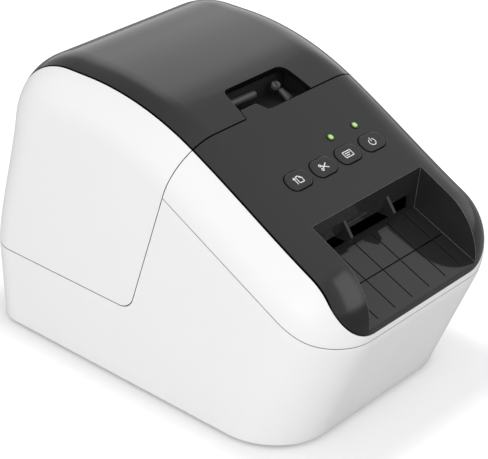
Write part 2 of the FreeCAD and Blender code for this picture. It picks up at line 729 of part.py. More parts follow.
# Space above the side seam: front shell and panel.
SEAM_TAN = "tan(front_seam_slope * 1 deg)"
NOSE_TAN = "tan(front_seam_nose_slope * 1 deg)"
BREAK_Z = "(cover_edge_z + (front_seam_break - cover_edge_y) * %s)" % SEAM_TAN


def front_region(name, gap):
    far = "%s - 20" % FRONT
    rear = "cover_edge_y + 40"
    corners = [
        (far, "%s + (%s - front_seam_break) * %s + (%s)" % (BREAK_Z, far, NOSE_TAN, gap)),
        ("front_seam_break", "%s + (%s)" % (BREAK_Z, gap), "front_seam_round"),
        (rear, "cover_edge_z + (%s - cover_edge_y) * %s + (%s)" % (rear, SEAM_TAN, gap)),
        (rear, "case_top + 40"),
        (far, "case_top + 40"),
    ]
    return prism(name, "X", corners, "0 - case_width", "case_width")


front_space = front_region("front_space", "seam_gap / 2")
front_room = front_region("front_room", "0 - seam_gap / 2")


def panel_region(name, grow, low, high):
    corners = []
    for sign in ("", "0 - "):
        half = "%s(lid_half + (%s))" % (sign, grow)
        side = [
            (half, "case_top + 40"),
            (half, "panel_lip - (%s)" % grow, "panel_lip_round"),
        ]
        corners += side if sign == "" else list(reversed(side))
    return prism(name, "Y", corners, low, high)


PANEL_FAR = "%s - 20" % FRONT
PANEL_NEAR = "cover_edge_y + 40"
panel_space = panel_region("panel_space", "0 - seam_gap / 2", PANEL_FAR, PANEL_NEAR)
panel_room = panel_region("panel_room", "seam_gap / 2", PANEL_FAR, PANEL_NEAR)
panel_rim_out = panel_region("panel_rim_out", "flange_reach", PANEL_FAR, PANEL_NEAR)
panel_rim_in = panel_region("panel_rim_in", "0 - flange_reach", PANEL_FAR, PANEL_NEAR)

# Opening of the lid above the label entry, and the panel tongue that reaches into it.
WINDOW_FRONT = "panel_top_y - 8"
TONGUE_FRONT = "panel_top_y - 3"
TONGUE_BACK = "panel_top_y + tongue_reach"


def tongue_side(y):
    """Left edge of the tongue at a depth, beside the slanting edge of the window."""
    share = "(window_back - (%s)) / (window_back - (%s))" % (y, WINDOW_FRONT)
    return "window_left + tongue_gap - window_flare_left * %s" % share


window_tool = prism("window_tool", "Z", [
    ("window_left - window_flare_left", WINDOW_FRONT),
    ("window_left", "window_back", "window_round_left"),
    ("window_right", "window_back", "window_round_right"),
    ("window_right + window_flare_right", WINDOW_FRONT),
], "cover_edge_z", "case_top + 20")
tongue_tool = prism("tongue_tool", "Z", [
    (tongue_side(TONGUE_FRONT), TONGUE_FRONT),
    (tongue_side(TONGUE_BACK), TONGUE_BACK, "0.6"),
    ("%s + tongue_width" % tongue_side(TONGUE_BACK), TONGUE_BACK, "1.6"),
    ("%s + tongue_width + tongue_reach" % tongue_side(TONGUE_BACK), TONGUE_FRONT),
], "cover_edge_z", "case_top + 20")

# Roll cover: dark lid with hinge knuckles, and two white sides on its flanges.
KNUCKLE_END = "(knuckle_start + knuckle_length)"
EAR_IN = "(knuckle_start - move_gap - ear_length)"
EAR_OUT = "(knuckle_start - move_gap)"
lid_band = box("lid_band", ("seam_gap / 2 - lid_half", "lid_half - seam_gap / 2"),
               ("0 - case_depth", "case_depth"), ("0", "case_top + 20"))
side_band = box("side_band", ("0 - lid_half - seam_gap / 2", "lid_half + seam_gap / 2"),
                ("0 - case_depth", "case_depth"), ("0", "case_top + 20"))
cover_shell = common("cover_shell", shell_layer, cover_space)
lid_skin = common("lid_skin", cover_shell, lid_band)
rim_bands = []
for side, sign in (("left", "0 - "), ("right", "")):
    ends = ["%s(lid_half - flange_reach)" % sign, "%s(lid_half + flange_reach)" % sign]
    if sign:
        ends.reverse()
    rim_bands.append(box("lid_rim_band_" + side, ends, ("0 - case_depth", "case_depth"),
                         ("cover_sill + hinge_radius * 2 + 2", "case_top + 20")))
lid_rim_bands = fuse("lid_rim_bands", rim_bands)
cover_flange = common("cover_flange", flange_layer, cover_space)
lid_rim = common("lid_rim", cover_flange, lid_rim_bands)
knuckles = []
knuckle_bores = []
ear_rooms = []
for side, sign in (("left", -1), ("right", 1)):
    start = "knuckle_start" if sign > 0 else "0 - %s" % KNUCKLE_END
    knuckles.append(rod("knuckle_" + side, "X", (start, HINGE_Y, HINGE_Z), "knuckle_length", "hinge_radius"))
    knuckle_bores.append(rod("knuckle_bore_" + side, "X", ("%s - 1" % start, HINGE_Y, HINGE_Z),
                             "knuckle_length + 2", "hinge_pin_radius + running_fit"))
    ear = EAR_IN if sign > 0 else "0 - %s" % EAR_OUT
    ear_rooms.append(box("ear_room_" + side, ("%s - move_gap" % ear, "%s + ear_length + move_gap" % ear),
                         ("%s - 12" % BACK, "%s + 2" % BACK),
                         ("cover_sill - 4", "%s + hinge_radius + move_gap" % HINGE_Z)))
lid_blank = fuse("lid_blank", [lid_skin, lid_rim] + knuckles)
lid = cut("lid_cut", lid_blank, [window_tool] + knuckle_bores + ear_rooms)
node("roll_cover_lid", lid)

cover_sides = cut("cover_sides", cover_shell, [side_band])
for side, sign in (("left", -1), ("right", 1)):
    low = "0 - case_width" if sign < 0 else "0"
    half_room = box("half_room_" + side, (low, "%s + case_width" % low),
                    ("0 - case_depth", "case_depth"), ("0", "case_top + 20"))
    node("cover_side_" + side, common("cover_side_cut_" + side, cover_sides, half_room))

# Front shell: white frame round the panel, with a flange behind the lower case.
front_zone = common("front_zone", shell_layer, front_space)
front_open = cut("front_open", front_zone, [cover_room, panel_room])
flange_low = front_region("flange_low", "0 - flange_reach")
flange_high = front_region("flange_high", "flange_reach / 2")
front_flange_zone = common("front_flange_zone", flange_layer, flange_low)
front_flange = cut("front_flange", front_flange_zone, [flange_high, cover_room])
node("front_shell", fuse("front_shell_fuse", [front_open, front_flange]))

# Control panel: dark skin, flange under the front shell, tray, slot, ribs and button openings.
FLOOR_TAN = "tan(tray_floor_slope * 1 deg)"


def tray_floor_z(y, offset="0"):
    return "tray_floor_front + ((%s) - %s) * %s + (%s)" % (y, FRONT, FLOOR_TAN, offset)


panel_skin = common("panel_skin_all", front_zone, panel_space)
panel_front_part = cut("panel_front_part", panel_skin, [cover_room])
tongue_zone = common("tongue_zone", shell_layer, tongue_tool)
panel_rim_zone = cut("panel_rim_zone", panel_rim_out, [panel_rim_in])
panel_flange_zone = common("panel_flange_zone", flange_layer, panel_rim_zone)
panel_flange_room = front_region("panel_flange_room", "flange_reach / 2 + seam_gap")
panel_flange_front = common("panel_flange_front", panel_flange_zone, panel_flange_room)
panel_flange = cut("panel_flange", panel_flange_front, [cover_room])
TRAY_OUT = "(tray_half + tray_wall)"
TRAY_DEEP = "(tray_back + tray_lean)"
TRAY_BEHIND = "(tray_back + tray_lean + tray_wall)"
TRAY_RIM = "(panel_top_z + (tray_back - panel_top_y) * tan(panel_angle * 1 deg))"
tray_far = "%s - 6" % FRONT
tray_block_outline = [
    (tray_far, tray_floor_z(tray_far, "0 - tray_wall")),
    (TRAY_BEHIND, tray_floor_z(TRAY_BEHIND, "0 - tray_wall")),
    (TRAY_BEHIND, "case_top"),
    (tray_far, "case_top"),
]
tray_block = prism("tray_block", "X", tray_block_outline, "0 - %s" % TRAY_OUT, TRAY_OUT)
tray_body = common("tray_body", tray_block, inner_form)
tray_pocket = prism("tray_pocket", "X", [
    (tray_far, tray_floor_z(tray_far)),
    (TRAY_DEEP, tray_floor_z(TRAY_DEEP)),
    ("tray_back", TRAY_RIM),
    ("tray_back", "case_top"),
    (tray_far, "case_top"),
], "0 - tray_half", "tray_half")
# The slot opens the wall down to the floor, which runs on below it.
SLOT_FRONT = "(tray_back - tray_wall)"
SLOT_BACK = "(%s + tray_wall)" % TRAY_BEHIND
slot_tool = prism("slot_tool", "X", [
    (SLOT_FRONT, tray_floor_z(SLOT_FRONT)),
    (SLOT_BACK, tray_floor_z(SLOT_BACK)),
    (SLOT_BACK, "slot_high"),
    (SLOT_FRONT, "slot_high"),
], "0 - slot_half", "slot_half")
grooves = []
for index in range(6):
    middle = "tray_groove_pitch * (%d - 2.5)" % index
    groove = prism("tray_groove_%d" % index, "X", [
        ("%s + 2" % FRONT, tray_floor_z("%s + 2" % FRONT, "0 - tray_groove")),
        (TRAY_DEEP, tray_floor_z(TRAY_DEEP, "0 - tray_groove")),
        (TRAY_DEEP, tray_floor_z(TRAY_DEEP, "tray_groove")),
        ("%s + 2" % FRONT, tray_floor_z("%s + 2" % FRONT, "tray_groove")),
    ], "%s - tray_groove / 2" % middle, "%s + tray_groove / 2" % middle)
    grooves.append(groove)
cross_groove = prism("tray_cross_groove", "X", [
    ("tray_cross_line - tray_groove / 2", tray_floor_z("tray_cross_line", "0 - tray_groove")),
    ("tray_cross_line + tray_groove / 2", tray_floor_z("tray_cross_line", "0 - tray_groove")),
    ("tray_cross_line + tray_groove / 2", tray_floor_z("tray_cross_line", "tray_groove")),
    ("tray_cross_line - tray_groove / 2", tray_floor_z("tray_cross_line", "tray_groove")),
], "0 - tray_groove_pitch * 2.5", "tray_half - 1")
# Ribs that hang from the wall above the slot and hold the label down on the tray.
RIB_TAIL = "(%s + rib_tail)" % TRAY_BEHIND
ribs = []
for side, sign in (("left", "0 - "), ("right", "")):
    middle = "%srib_offset" % sign
    rib = prism("exit_rib_" + side, "X", [
        (RIB_TAIL, "path_height - rib_low"),
        ("tray_back - rib_reach + rib_nose", "path_height - rib_low"),
        ("tray_back - rib_reach", "path_height + rib_tip"),
        ("tray_back + tray_wall", "path_height + rib_top"),
        (RIB_TAIL, "path_height + rib_top"),
    ], "%s - rib_width / 2" % middle, "%s + rib_width / 2" % middle)
    ribs.append(rib)
button_holes = []
light_holes = []
for index in range(4):
    middle = "(button_shift + button_pitch * (%d - 1.5))" % index
    button_holes.append(slope_opening("button_hole_%d" % index, middle, "button_down",
                                      "button_width / 2 + button_gap", "button_length / 2 + button_gap",
                                      "button_round + button_gap", ("0 - 4", "wall + 3")))
    if index > 1:
        light_holes.append(slope_rod("light_hole_%d" % index, middle, "light_down", ("0 - 4", "wall + 3"),
                                     "light_radius + running_fit"))
POST_PLACES = [("0 - board_half + post_radius + 0.6", "button_down"),
               ("board_half - post_radius - 0.6", "button_down"),
               ("0 - button_pitch", "board_up + post_radius + 0.6"),
               ("button_pitch", "board_up + post_radius + 0.6")]
board_posts = []
post_bores = []
for index, place in enumerate(POST_PLACES):
    board_posts.append(slope_rod("board_post_%d" % index, place[0], place[1], ("wall / 2", "board_depth"),
                                 "post_radius"))
    post_bores.append(slope_rod("post_bore_%d" % index, place[0], place[1],
                                ("board_depth - screw_length", "board_depth + 1"), "screw_radius + running_fit"))
panel_blank = fuse("panel_blank", [panel_front_part, tongue_zone, panel_flange, tray_body] + board_posts)
panel_open = cut("panel_open", panel_blank, [tray_pocket, slot_tool] + button_holes + light_holes + post_bores)
panel_lines = cut("panel_lines", panel_open, grooves + [cross_groove])
node("control_panel", fuse("control_panel_fuse", [panel_lines] + ribs))

# Lower case: tub below the seams, with posts, hinge ears and openings for sockets and feet.
tub_shell = cut("tub_shell", shell_layer, [cover_room, front_room])
ears = []
ear_bores = []
for side, sign in (("left", -1), ("right", 1)):
    start = EAR_IN if sign > 0 else "0 - %s" % EAR_OUT
    ears.append(rod("ear_round_" + side, "X", (start, HINGE_Y, HINGE_Z), "ear_length", "hinge_radius"))
    ears.append(box("ear_web_" + side, (start, "%s + ear_length" % start),
                    ("%s - hinge_radius" % HINGE_Y, "%s + hinge_radius - wall / 2" % HINGE_Y),
                    ("cover_sill - 14", HINGE_Z)))
    ear_bores.append(rod("ear_bore_" + side, "X", ("%s - 1" % start, HINGE_Y, HINGE_Z),
                         "ear_length + 2", "hinge_pin_radius"))
# Screw places of the two large boards: name, across, along, seat height and thread below it.
BOARD_SEATS = []
for x_name, x_sign in (("left", "0 - "), ("right", "")):
    for y_name, y_end, inward in (("front", "front", "+"), ("back", "back", "-")):
        for board, seat, grip in (("main", BOARD_Z, "(screw_length - 1)"), ("power", POWER_Z, "power_grip")):
            across = "%s(%s_half - board_inset)" % (x_sign, board)
            along = "%s_%s %s board_end_inset" % (board, y_end, inward)
            BOARD_SEATS.append(("%s_%s_%s" % (board, x_name, y_name), across, along, seat, grip))
posts = []
tub_bores = []
for x_sign in ("0 - ", ""):
    for y_name in ("chassis_post_front", "chassis_post_back"):
        tag = ("left_" if x_sign else "right_") + y_name
        posts.append(rod("post_" + tag, "Z", (x_sign + "chassis_post_x", y_name, "foot_height + wall / 2"),
                         "chassis_base - foot_height - wall / 2", "chassis_post_radius"))
        tub_bores.append(rod("bore_" + tag, "Z", (x_sign + "chassis_post_x", y_name, "chassis_base - screw_length"),
                             "screw_length + 1", "screw_radius + running_fit"))
    for tag, y_text in (("front", "bin_front + 8"), ("back", "%s - 12" % BIN_BACK)):
        name = "bin_post_" + ("left_" if x_sign else "right_") + tag
        posts.append(rod(name, "Z", (x_sign + "bin_post_x", y_text, "foot_height + wall / 2"),
                         "bin_floor - foot_height - wall / 2", "chassis_post_radius"))
for tag, x_text, y_text, seat, grip in BOARD_SEATS:
    posts.append(rod(tag + "_post", "Z", (x_text, y_text, "foot_height + wall / 2"),
                     "%s - foot_height - wall / 2" % seat, "post_radius"))
    tub_bores.append(rod(tag + "_post_bore", "Z", (x_text, y_text, "%s - %s" % (seat, grip)),
                         "%s + 1" % grip, "screw_radius + running_fit"))
foot_rooms = []
for x_sign in ("0 - ", ""):
    for y_name in ("foot_front", "foot_back"):
        tag = ("left_" if x_sign else "right_") + y_name
        foot_rooms.append(rod("foot_room_" + tag, "Z", (x_sign + "foot_x", y_name, "foot_height - 1"),
                              "1 + foot_sink", "foot_radius"))
inlet_room = box("inlet_room", ("inlet_x - inlet_width / 2", "inlet_x + inlet_width / 2"),
                 ("%s - 12" % BACK, "%s + 2" % BACK),
                 ("port_z - inlet_height / 2", "port_z + inlet_height / 2"))
usb_room = box("usb_room", ("usb_x - usb_width / 2", "usb_x + usb_width / 2"),
               ("%s - 12" % BACK, "%s + 2" % BACK), ("port_z - usb_height / 2", "port_z + usb_height / 2"))
tub_blank = fuse("tub_blank", [tub_shell] + ears + posts)
tub = cut("lower_case_cut", tub_blank, ear_bores + tub_bores + foot_rooms + [inlet_room, usb_room])
node("lower_case", tub)

# Hinge pins, held in the base knuckles.
pins = []
for side, sign in (("left", -1), ("right", 1)):
    start = EAR_IN if sign > 0 else "0 - (%s)" % KNUCKLE_END
    pins.append(rod("hinge_pin_" + side, "X", (start, HINGE_Y, HINGE_Z), "ear_length + move_gap + knuckle_length",
                    "hinge_pin_radius"))
node("hinge_pins", fuse("hinge_pins_fuse", pins))

# Rubber feet.
feet = []
for x_sign in ("0 - ", ""):
    for y_name in ("foot_front", "foot_back"):
        tag = ("left_" if x_sign else "right_") + y_name
        feet.append(rod("foot_" + tag, "Z", (x_sign + "foot_x", y_name, "0"), "foot_height + foot_sink", "foot_radius"))
node("rubber_feet", fuse("rubber_feet_fuse", feet))

# Four buttons: cap, retaining rim below the panel and stem into its switch.
BUTTON_NAMES = ["feed_button", "cut_button", "function_button", "power_button"]
for index, name in enumerate(BUTTON_NAMES):
    middle = "(button_shift + button_pitch * (%d - 1.5))" % index
    body = add("PartDesign::Body", name)
    tilted(body, middle, "button_down", "wall + move_gap + button_rim_thick")
    rim_sketch = new_sketch(body, "XY_Plane", name + "_rim_outline")
    rim_x = "(button_width / 2 + button_rim)"
    rim_y = "(button_length / 2 + button_rim)"
    outline(rim_sketch, [("0 - %s" % rim_x, "0 - %s" % rim_y), (rim_x, "0 - %s" % rim_y),
                         (rim_x, rim_y), ("0 - %s" % rim_x, rim_y)])
    pad(body, rim_sketch, name + "_rim", "button_rim_thick")
    cap_sketch = new_sketch(body, "XY_Plane", name + "_cap_outline")
    cap_x = "(button_width / 2)"
    cap_y = "(button_length / 2)"
    outline(cap_sketch, [("0 - %s" % cap_x, "0 - %s" % cap_y), (cap_x, "0 - %s" % cap_y),
                         (cap_x, cap_y), ("0 - %s" % cap_x, cap_y)])
    cap = pad(body, cap_sketch, name + "_cap", "button_rim_thick + move_gap + wall + button_rise")
    stem_sketch = new_sketch(body, "XY_Plane", name + "_stem_outline")
    ring(stem_sketch, ("0", "0"), "stem_radius")
    stem = pad(body, stem_sketch, name + "_stem",
               "board_depth - wall - button_rim_thick - move_gap * 2 - switch_floor - button_travel")
    stem.Reversed = True
    doc.recompute()
    corner_edges = []
    cap_corner = VECTOR(number(cap_x), number(cap_y), 0)
    for number_of_edge, edge in enumerate(stem.Shape.Edges, 1):
        start = edge.Vertexes[0].Point
        end = edge.Vertexes[-1].Point
        upright = abs(start.x - end.x) < 1e-4 and abs(start.y - end.y) < 1e-4 and abs(start.z - end.z) > 0.5
        if upright and abs(abs(start.x) - cap_corner.x) < 1e-3 and abs(abs(start.y) - cap_corner.y) < 1e-3:
            corner_edges.append("Edge%d" % number_of_edge)
    rounding = body.newObject("PartDesign::Fillet", name + "_rounding")
    rounding.Base = (stem, corner_edges)
    rounding.setExpression("Radius", formula("button_round"))
    body.Tip = rounding
    node(name, body)

# Light pipes of the two status lights, in the panel and on the board.
pipes = []
for index in (2, 3):
    middle = "(button_shift + button_pitch * (%d - 1.5))" % index
    pipes.append(slope_rod("light_pipe_%d" % index, middle, "light_down", ("0 - 0.2", "board_depth - 1.2"),
                           "light_radius"))
node("light_pipes", fuse("light_pipes_fuse", pipes))
lamps = []
for index in (2, 3):
    middle = "(button_shift + button_pitch * (%d - 1.5))" % index
    lamps.append(slope_box("lamp_%d" % index, ("%s - 1.6" % middle, "%s + 1.6" % middle),
                           ("light_down - 0.8", "light_down + 0.8"), ("board_depth - 1.2", "board_depth")))
node("status_lamps", fuse("status_lamps_fuse", lamps))

# Button board with four push switches and its screws.
board_sheet = slope_box("button_board_sheet", ("0 - board_half", "board_half"), ("board_up", "board_down"),
                        ("board_depth", "board_depth + board_thick"))
board_bores = []
for index, place in enumerate(POST_PLACES):
    board_bores.append(slope_rod("board_bore_%d" % index, place[0], place[1],
                                 ("board_depth - 1", "board_depth + board_thick + 1"), "screw_radius + running_fit"))
node("button_board", cut("button_board_cut", board_sheet, board_bores))
switches = []
switch_bores = []
for index in range(4):
    middle = "(button_shift + button_pitch * (%d - 1.5))" % index
    switches.append(slope_box("switch_%d" % index, ("%s - switch_size / 2" % middle, "%s + switch_size / 2" % middle),
                              ("button_down - switch_size / 2", "button_down + switch_size / 2"),
                              ("board_depth - switch_height", "board_depth")))
    switch_bores.append(slope_rod("switch_bore_%d" % index, middle, "button_down",
                                  ("board_depth - switch_height - 1", "board_depth - switch_floor"),
                                  "stem_radius + move_gap"))
node("push_switches", cut("push_switches_cut", fuse("switch_blocks", switches), switch_bores))
screws = []
for index, place in enumerate(POST_PLACES):
    screws.append(slope_rod("board_screw_head_%d" % index, place[0], place[1],
                            ("board_depth + board_thick", "board_depth + board_thick + 1.4"), "screw_radius * 1.9"))
    screws.append(slope_rod("board_screw_%d" % index, place[0], place[1],
                            ("board_depth - screw_length + 1", "board_depth + board_thick + 0.5"), "screw_radius"))
large_board_bores = {"main": [], "power": []}
for tag, x_text, y_text, seat, grip in BOARD_SEATS:
    bore = rod(tag + "_board_bore", "Z", (x_text, y_text, "%s - 1" % seat), "board_thick + 2",
               "screw_radius + running_fit")
    large_board_bores[tag.split("_")[0]].append(bore)
    screws.append(rod(tag + "_screw_head", "Z", (x_text, y_text, "%s + board_thick" % seat), "1.4",
                      "screw_radius * 1.9"))
    screws.append(rod(tag + "_screw", "Z", (x_text, y_text, "%s - %s" % (seat, grip)),
                      "%s + board_thick + 0.5" % grip, "screw_radius"))
node("board_screws", fuse("board_screws_fuse", screws))

# Chassis: base and two side plates bent from one sheet.
CHASSIS_OUT = "(chassis_half + plate)"
chassis_parts = [box("chassis_floor", ("0 - %s" % CHASSIS_OUT, CHASSIS_OUT), ("chassis_front", "chassis_back"),
                     ("chassis_base", "chassis_base + plate"))]
side_corners = [
    ("chassis_front", "chassis_base"),
    ("chassis_back", "chassis_base"),
    ("chassis_back", "chassis_back_top", "4"),
    ("chassis_back - 22", "chassis_back_top", "10"),
    ("chassis_front", "chassis_front_top", "4"),
]
chassis_parts.append(prism("chassis_left", "X", side_corners, "0 - %s" % CHASSIS_OUT, "0 - chassis_half"))
chassis_parts.append(prism("chassis_right", "X", side_corners, "chassis_half", CHASSIS_OUT))
THROUGH = ("0 - %s - 2" % CHASSIS_OUT, "2 * %s + 4" % CHASSIS_OUT)
chassis_bores = [
    rod("platen_bores", "X", (THROUGH[0], "platen_y", PLATEN_Z), THROUGH[1], "bush_radius"),
    rod("pivot_bores", "X", (THROUGH[0], "head_pivot_y", "head_pivot_z"), THROUGH[1], "head_pivot_radius"),
    rod("stud_bore", "X", ("chassis_half - 1", IDLER_Y, IDLER_Z), "plate + 2", "stud_radius"),
    rod("motor_bore", "X", ("chassis_half - 1", MOTOR_Y, MOTOR_Z), "plate + 2", "motor_shaft * 3"),
]
for x_sign in ("0 - ", ""):
    for y_name in ("chassis_post_front", "chassis_post_back"):
        tag = ("left_" if x_sign else "right_") + y_name
        chassis_bores.append(rod("chassis_hole_" + tag, "Z", (x_sign + "chassis_post_x", y_name, "chassis_base - 1"),
                                 "plate + 2", "screw_radius + running_fit"))
node("chassis", cut("chassis_cut", fuse("chassis_fuse", chassis_parts), chassis_bores))
chassis_screws = []
for x_sign in ("0 - ", ""):
    for y_name in ("chassis_post_front", "chassis_post_back"):
        tag = ("left_" if x_sign else "right_") + y_name
        chassis_screws.append(rod("chassis_screw_head_" + tag, "Z",
                                  (x_sign + "chassis_post_x", y_name, "chassis_base + plate"), "1.8",
                                  "screw_radius * 2"))
        chassis_screws.append(rod("chassis_screw_" + tag, "Z",
                                  (x_sign + "chassis_post_x", y_name, "chassis_base - screw_length + 1"),
                                  "screw_length + plate", "screw_radius"))
node("chassis_screws", fuse("chassis_screws_fuse", chassis_screws))

# Label guide between the plates, with the label sensor below it.
node("label_guide", prism("label_guide_form", "X", [
    ("platen_y + platen_radius + 1.5", "path_height - 0.4 - guide_thick"),
    ("chassis_back - 2", "path_height - 0.4 - guide_thick", "3"),
    ("chassis_back + 3", "path_height - 6 - guide_thick"),
    ("chassis_back + 3 + guide_thick", "path_height - 6"),
    ("chassis_back - 2", "path_height - 0.4", "4"),
    ("platen_y + platen_radius + 1.5", "path_height - 0.4"),
], "0 - chassis_half", "chassis_half"))
node("label_sensor", plate_body("label_sensor", ("0 - 6", "6"),
                                ("spring_y + 2", "spring_y + 8"),
                                ("path_height - 0.4 - guide_thick - 5", "path_height - 0.4 - guide_thick")))

# Platen: shaft with flat end for its gear, rubber sleeve and two flanged bushes.
ALONG_X = TURNS["X"]
SHAFT_LEFT = "(%s + 2)" % CHASSIS_OUT
SHAFT_RIGHT = "(%s + gear_width + 1.5)" % GEAR_X
node("platen_shaft", turned_body("platen_shaft", ("0", "platen_y", PLATEN_Z), ALONG_X, [
    ("0", "0 - %s" % SHAFT_LEFT), ("platen_shaft", "0 - %s" % SHAFT_LEFT),
    ("platen_shaft", SHAFT_RIGHT), ("0", SHAFT_RIGHT)]))
node("platen_sleeve", turned_body("platen_sleeve", ("0", "platen_y", PLATEN_Z), ALONG_X, [
    ("platen_shaft", "0 - platen_half"), ("platen_radius", "0 - platen_half"),
    ("platen_radius", "platen_half"), ("platen_shaft", "platen_half")]))
bushes = []
for side, sign in (("left", "0 - "), ("right", "")):
    near = "chassis_half - 1.5" if not sign else "0 - (%s)" % CHASSIS_OUT
    flange_at = "chassis_half - 1.5" if not sign else "0 - chassis_half"
    sleeve = rod("bush_sleeve_" + side, "X", (near, "platen_y", PLATEN_Z), "plate + 1.5", "bush_radius")
    collar = rod("bush_collar_" + side, "X", (flange_at, "platen_y", PLATEN_Z), "1.5", "bush_flange")
    bushes += [sleeve, collar]
bush_bore = rod("bush_bore", "X", (THROUGH[0], "platen_y", PLATEN_Z), THROUGH[1], "platen_shaft + running_fit")
node("platen_bushes", cut("platen_bushes_cut", fuse("bush_blanks", bushes), [bush_bore]))

# Feed drive: motor pinion, idler on its stud and platen gear, in mesh.
platen_count = int(round(number("platen_teeth")))
idler_count = int(round(number("idler_teeth")))
pinion_count = int(round(number("pinion_teeth")))


def mesh_phase(direction, phase, count, next_count):
    """Angle of the next gear that sets its gap against a tooth of the first."""
    share = (direction - phase) * count / (2 * math.pi)
    return direction + math.pi - (0.5 - share) * 2 * math.pi / next_count


idler_direction = math.radians(number("idler_turn"))
motor_direction = math.radians(number("motor_turn"))
idler_phase = mesh_phase(idler_direction, 0.0, platen_count, idler_count)
pinion_phase = mesh_phase(motor_direction, idler_phase, idler_count, pinion_count)
node("platen_gear", gear("platen_gear", ("platen_y", PLATEN_Z), GEAR_X, "platen_teeth", "platen_shaft", 0.0))
node("idler_gear", gear("idler_gear", (IDLER_Y, IDLER_Z), GEAR_X, "idler_teeth", "stud_radius + running_fit",
                        idler_phase))
stud = fuse("idler_stud_fuse", [
    rod("idler_stud_rod", "X", ("chassis_half", IDLER_Y, IDLER_Z), "plate + gear_width + 2.6", "stud_radius"),
    rod("idler_stud_collar", "X", (CHASSIS_OUT, IDLER_Y, IDLER_Z), "0.6", "stud_radius * 2"),
    rod("idler_stud_clip", "X", ("%s + gear_width + 0.4" % GEAR_X, IDLER_Y, IDLER_Z), "0.8", "stud_radius * 1.9"),
])
node("idler_stud", stud)
pinion_blank = gear("motor_pinion_teeth", (MOTOR_Y, MOTOR_Z), GEAR_X, "pinion_teeth", "0", pinion_phase)
pinion_shaft = rod("motor_pinion_shaft", "X", ("chassis_half - 8", MOTOR_Y, MOTOR_Z),
                   "8 + plate + 1 + gear_width + 1", "motor_shaft")
node("motor_pinion", fuse("motor_pinion_fuse", [pinion_blank, pinion_shaft]))
motor_block = box("feed_motor_block", ("chassis_half - motor_length", "chassis_half"),
                  ("%s - motor_size / 2" % MOTOR_Y, "%s + motor_size / 2" % MOTOR_Y),
                  ("%s - motor_size / 2" % MOTOR_Z, "%s + motor_size / 2" % MOTOR_Z))
motor_room = rod("feed_motor_bore", "X", ("chassis_half - 9", MOTOR_Y, MOTOR_Z), "12", "motor_shaft + running_fit")
node("feed_motor", cut("feed_motor_cut", motor_block, [motor_room]))

# Print head: heating strip, heat sink and sprung bracket on a pivot.
node("heating_strip", plate_body("heating_strip", ("0 - platen_half", "platen_half"),
                                 ("platen_y - 3", "platen_y + 3"), (HEAD_LOW, SINK_LOW)))
node("heat_sink", plate_body("heat_sink", ("0 - platen_half - 2", "platen_half + 2"), ("head_front", "head_back"),
                             (SINK_LOW, SINK_TOP)))
bracket_parts = [box("bracket_plate", ("0 - head_half", "head_half"), ("head_front", "head_pivot_y + 3"),
                     (SINK_TOP, "%s + plate" % SINK_TOP))]
for side, sign in (("left", "0 - "), ("right", "")):
    near = "head_half - 2" if not sign else "0 - head_half"
    bracket_parts.append(rod("bracket_ear_" + side, "X", (near, "head_pivot_y", "head_pivot_z"), "2",
                             "head_pivot_radius + 3"))
pivot_room = rod("bracket_bore", "X", ("0 - head_half - 1", "head_pivot_y", "head_pivot_z"), "2 * head_half + 2",
                 "head_pivot_radius + running_fit")
node("head_bracket", cut("head_bracket_cut", fuse("bracket_blank", bracket_parts), [pivot_room]))
node("head_pivot", turned_body("head_pivot", ("0", "head_pivot_y", "head_pivot_z"), ALONG_X, [
    ("0", "0 - %s" % CHASSIS_OUT), ("head_pivot_radius", "0 - %s" % CHASSIS_OUT),
    ("head_pivot_radius", CHASSIS_OUT), ("0", CHASSIS_OUT)]))
node("spring_bridge", plate_body("spring_bridge", ("0 - chassis_half", "chassis_half"),
                                 ("spring_y - 4", "spring_y + 4"),
                                 ("bridge_height", "bridge_height + bridge_thick")))
springs = []
spring_low = "%s + plate" % SINK_TOP
for side, sign in (("left", "0 - "), ("right", "")):
    tube = rod("spring_tube_" + side, "Z", (sign + "spring_x", "spring_y", spring_low),
               "bridge_height - (%s)" % spring_low, "spring_radius")
    hollow = rod("spring_hollow_" + side, "Z", (sign + "spring_x", "spring_y", "%s - 1" % spring_low),
                 "bridge_height - (%s) + 2" % spring_low, "spring_radius - spring_wire * 2")
    springs.append(cut("spring_" + side, tube, [hollow]))
node("head_springs", fuse("head_springs_fuse", springs))

# Cutter: fixed blade, moving blade on a carrier with a rack, guides, pinion and motor.
node("fixed_blade", plate_body("fixed_blade", ("0 - chassis_half", "chassis_half"),
                               ("%s + move_gap" % BLADE_BACK, "%s + move_gap + blade_thick" % BLADE_BACK),
                               ("fixed_blade_low", "fixed_blade_low + fixed_blade_height")))
node("moving_blade", plate_body("moving_blade", ("0 - blade_half", "blade_half"), ("blade_y", BLADE_BACK),
                                ("blade_top - blade_height", "blade_top")))
CARRIER_TOP = "(blade_top - 6)"
RACK_LOW = "(rack_pinion_z - blade_stroke - 5)"
RACK_HIGH = "(rack_pinion_z + 5)"
carrier_bar = box("carrier_bar", ("0 - carrier_half", "carrier_half"), (BLADE_BACK, CARRIER_BACK),
                  ("carrier_low", CARRIER_TOP))
rack_module = number("gear_module")
rack_pitch_y = number(RACK_PITCH_Y)
rack_root = rack_pitch_y - 1.15 * rack_module
rack_tip = rack_pitch_y + 0.9 * rack_module
tooth_step = math.pi * rack_module
flank_tan = math.tan(math.radians(25))
tooth_half = tooth_step / 4 - number("tooth_play") / 4
rack_points = [VECTOR(0, number(BLADE_BACK), number(RACK_LOW)), VECTOR(0, rack_root, number(RACK_LOW))]
tooth_count = int((number(RACK_HIGH) - number(RACK_LOW)) / tooth_step) - 1
first_tooth = number("rack_pinion_z") - (tooth_count - 3) * tooth_step
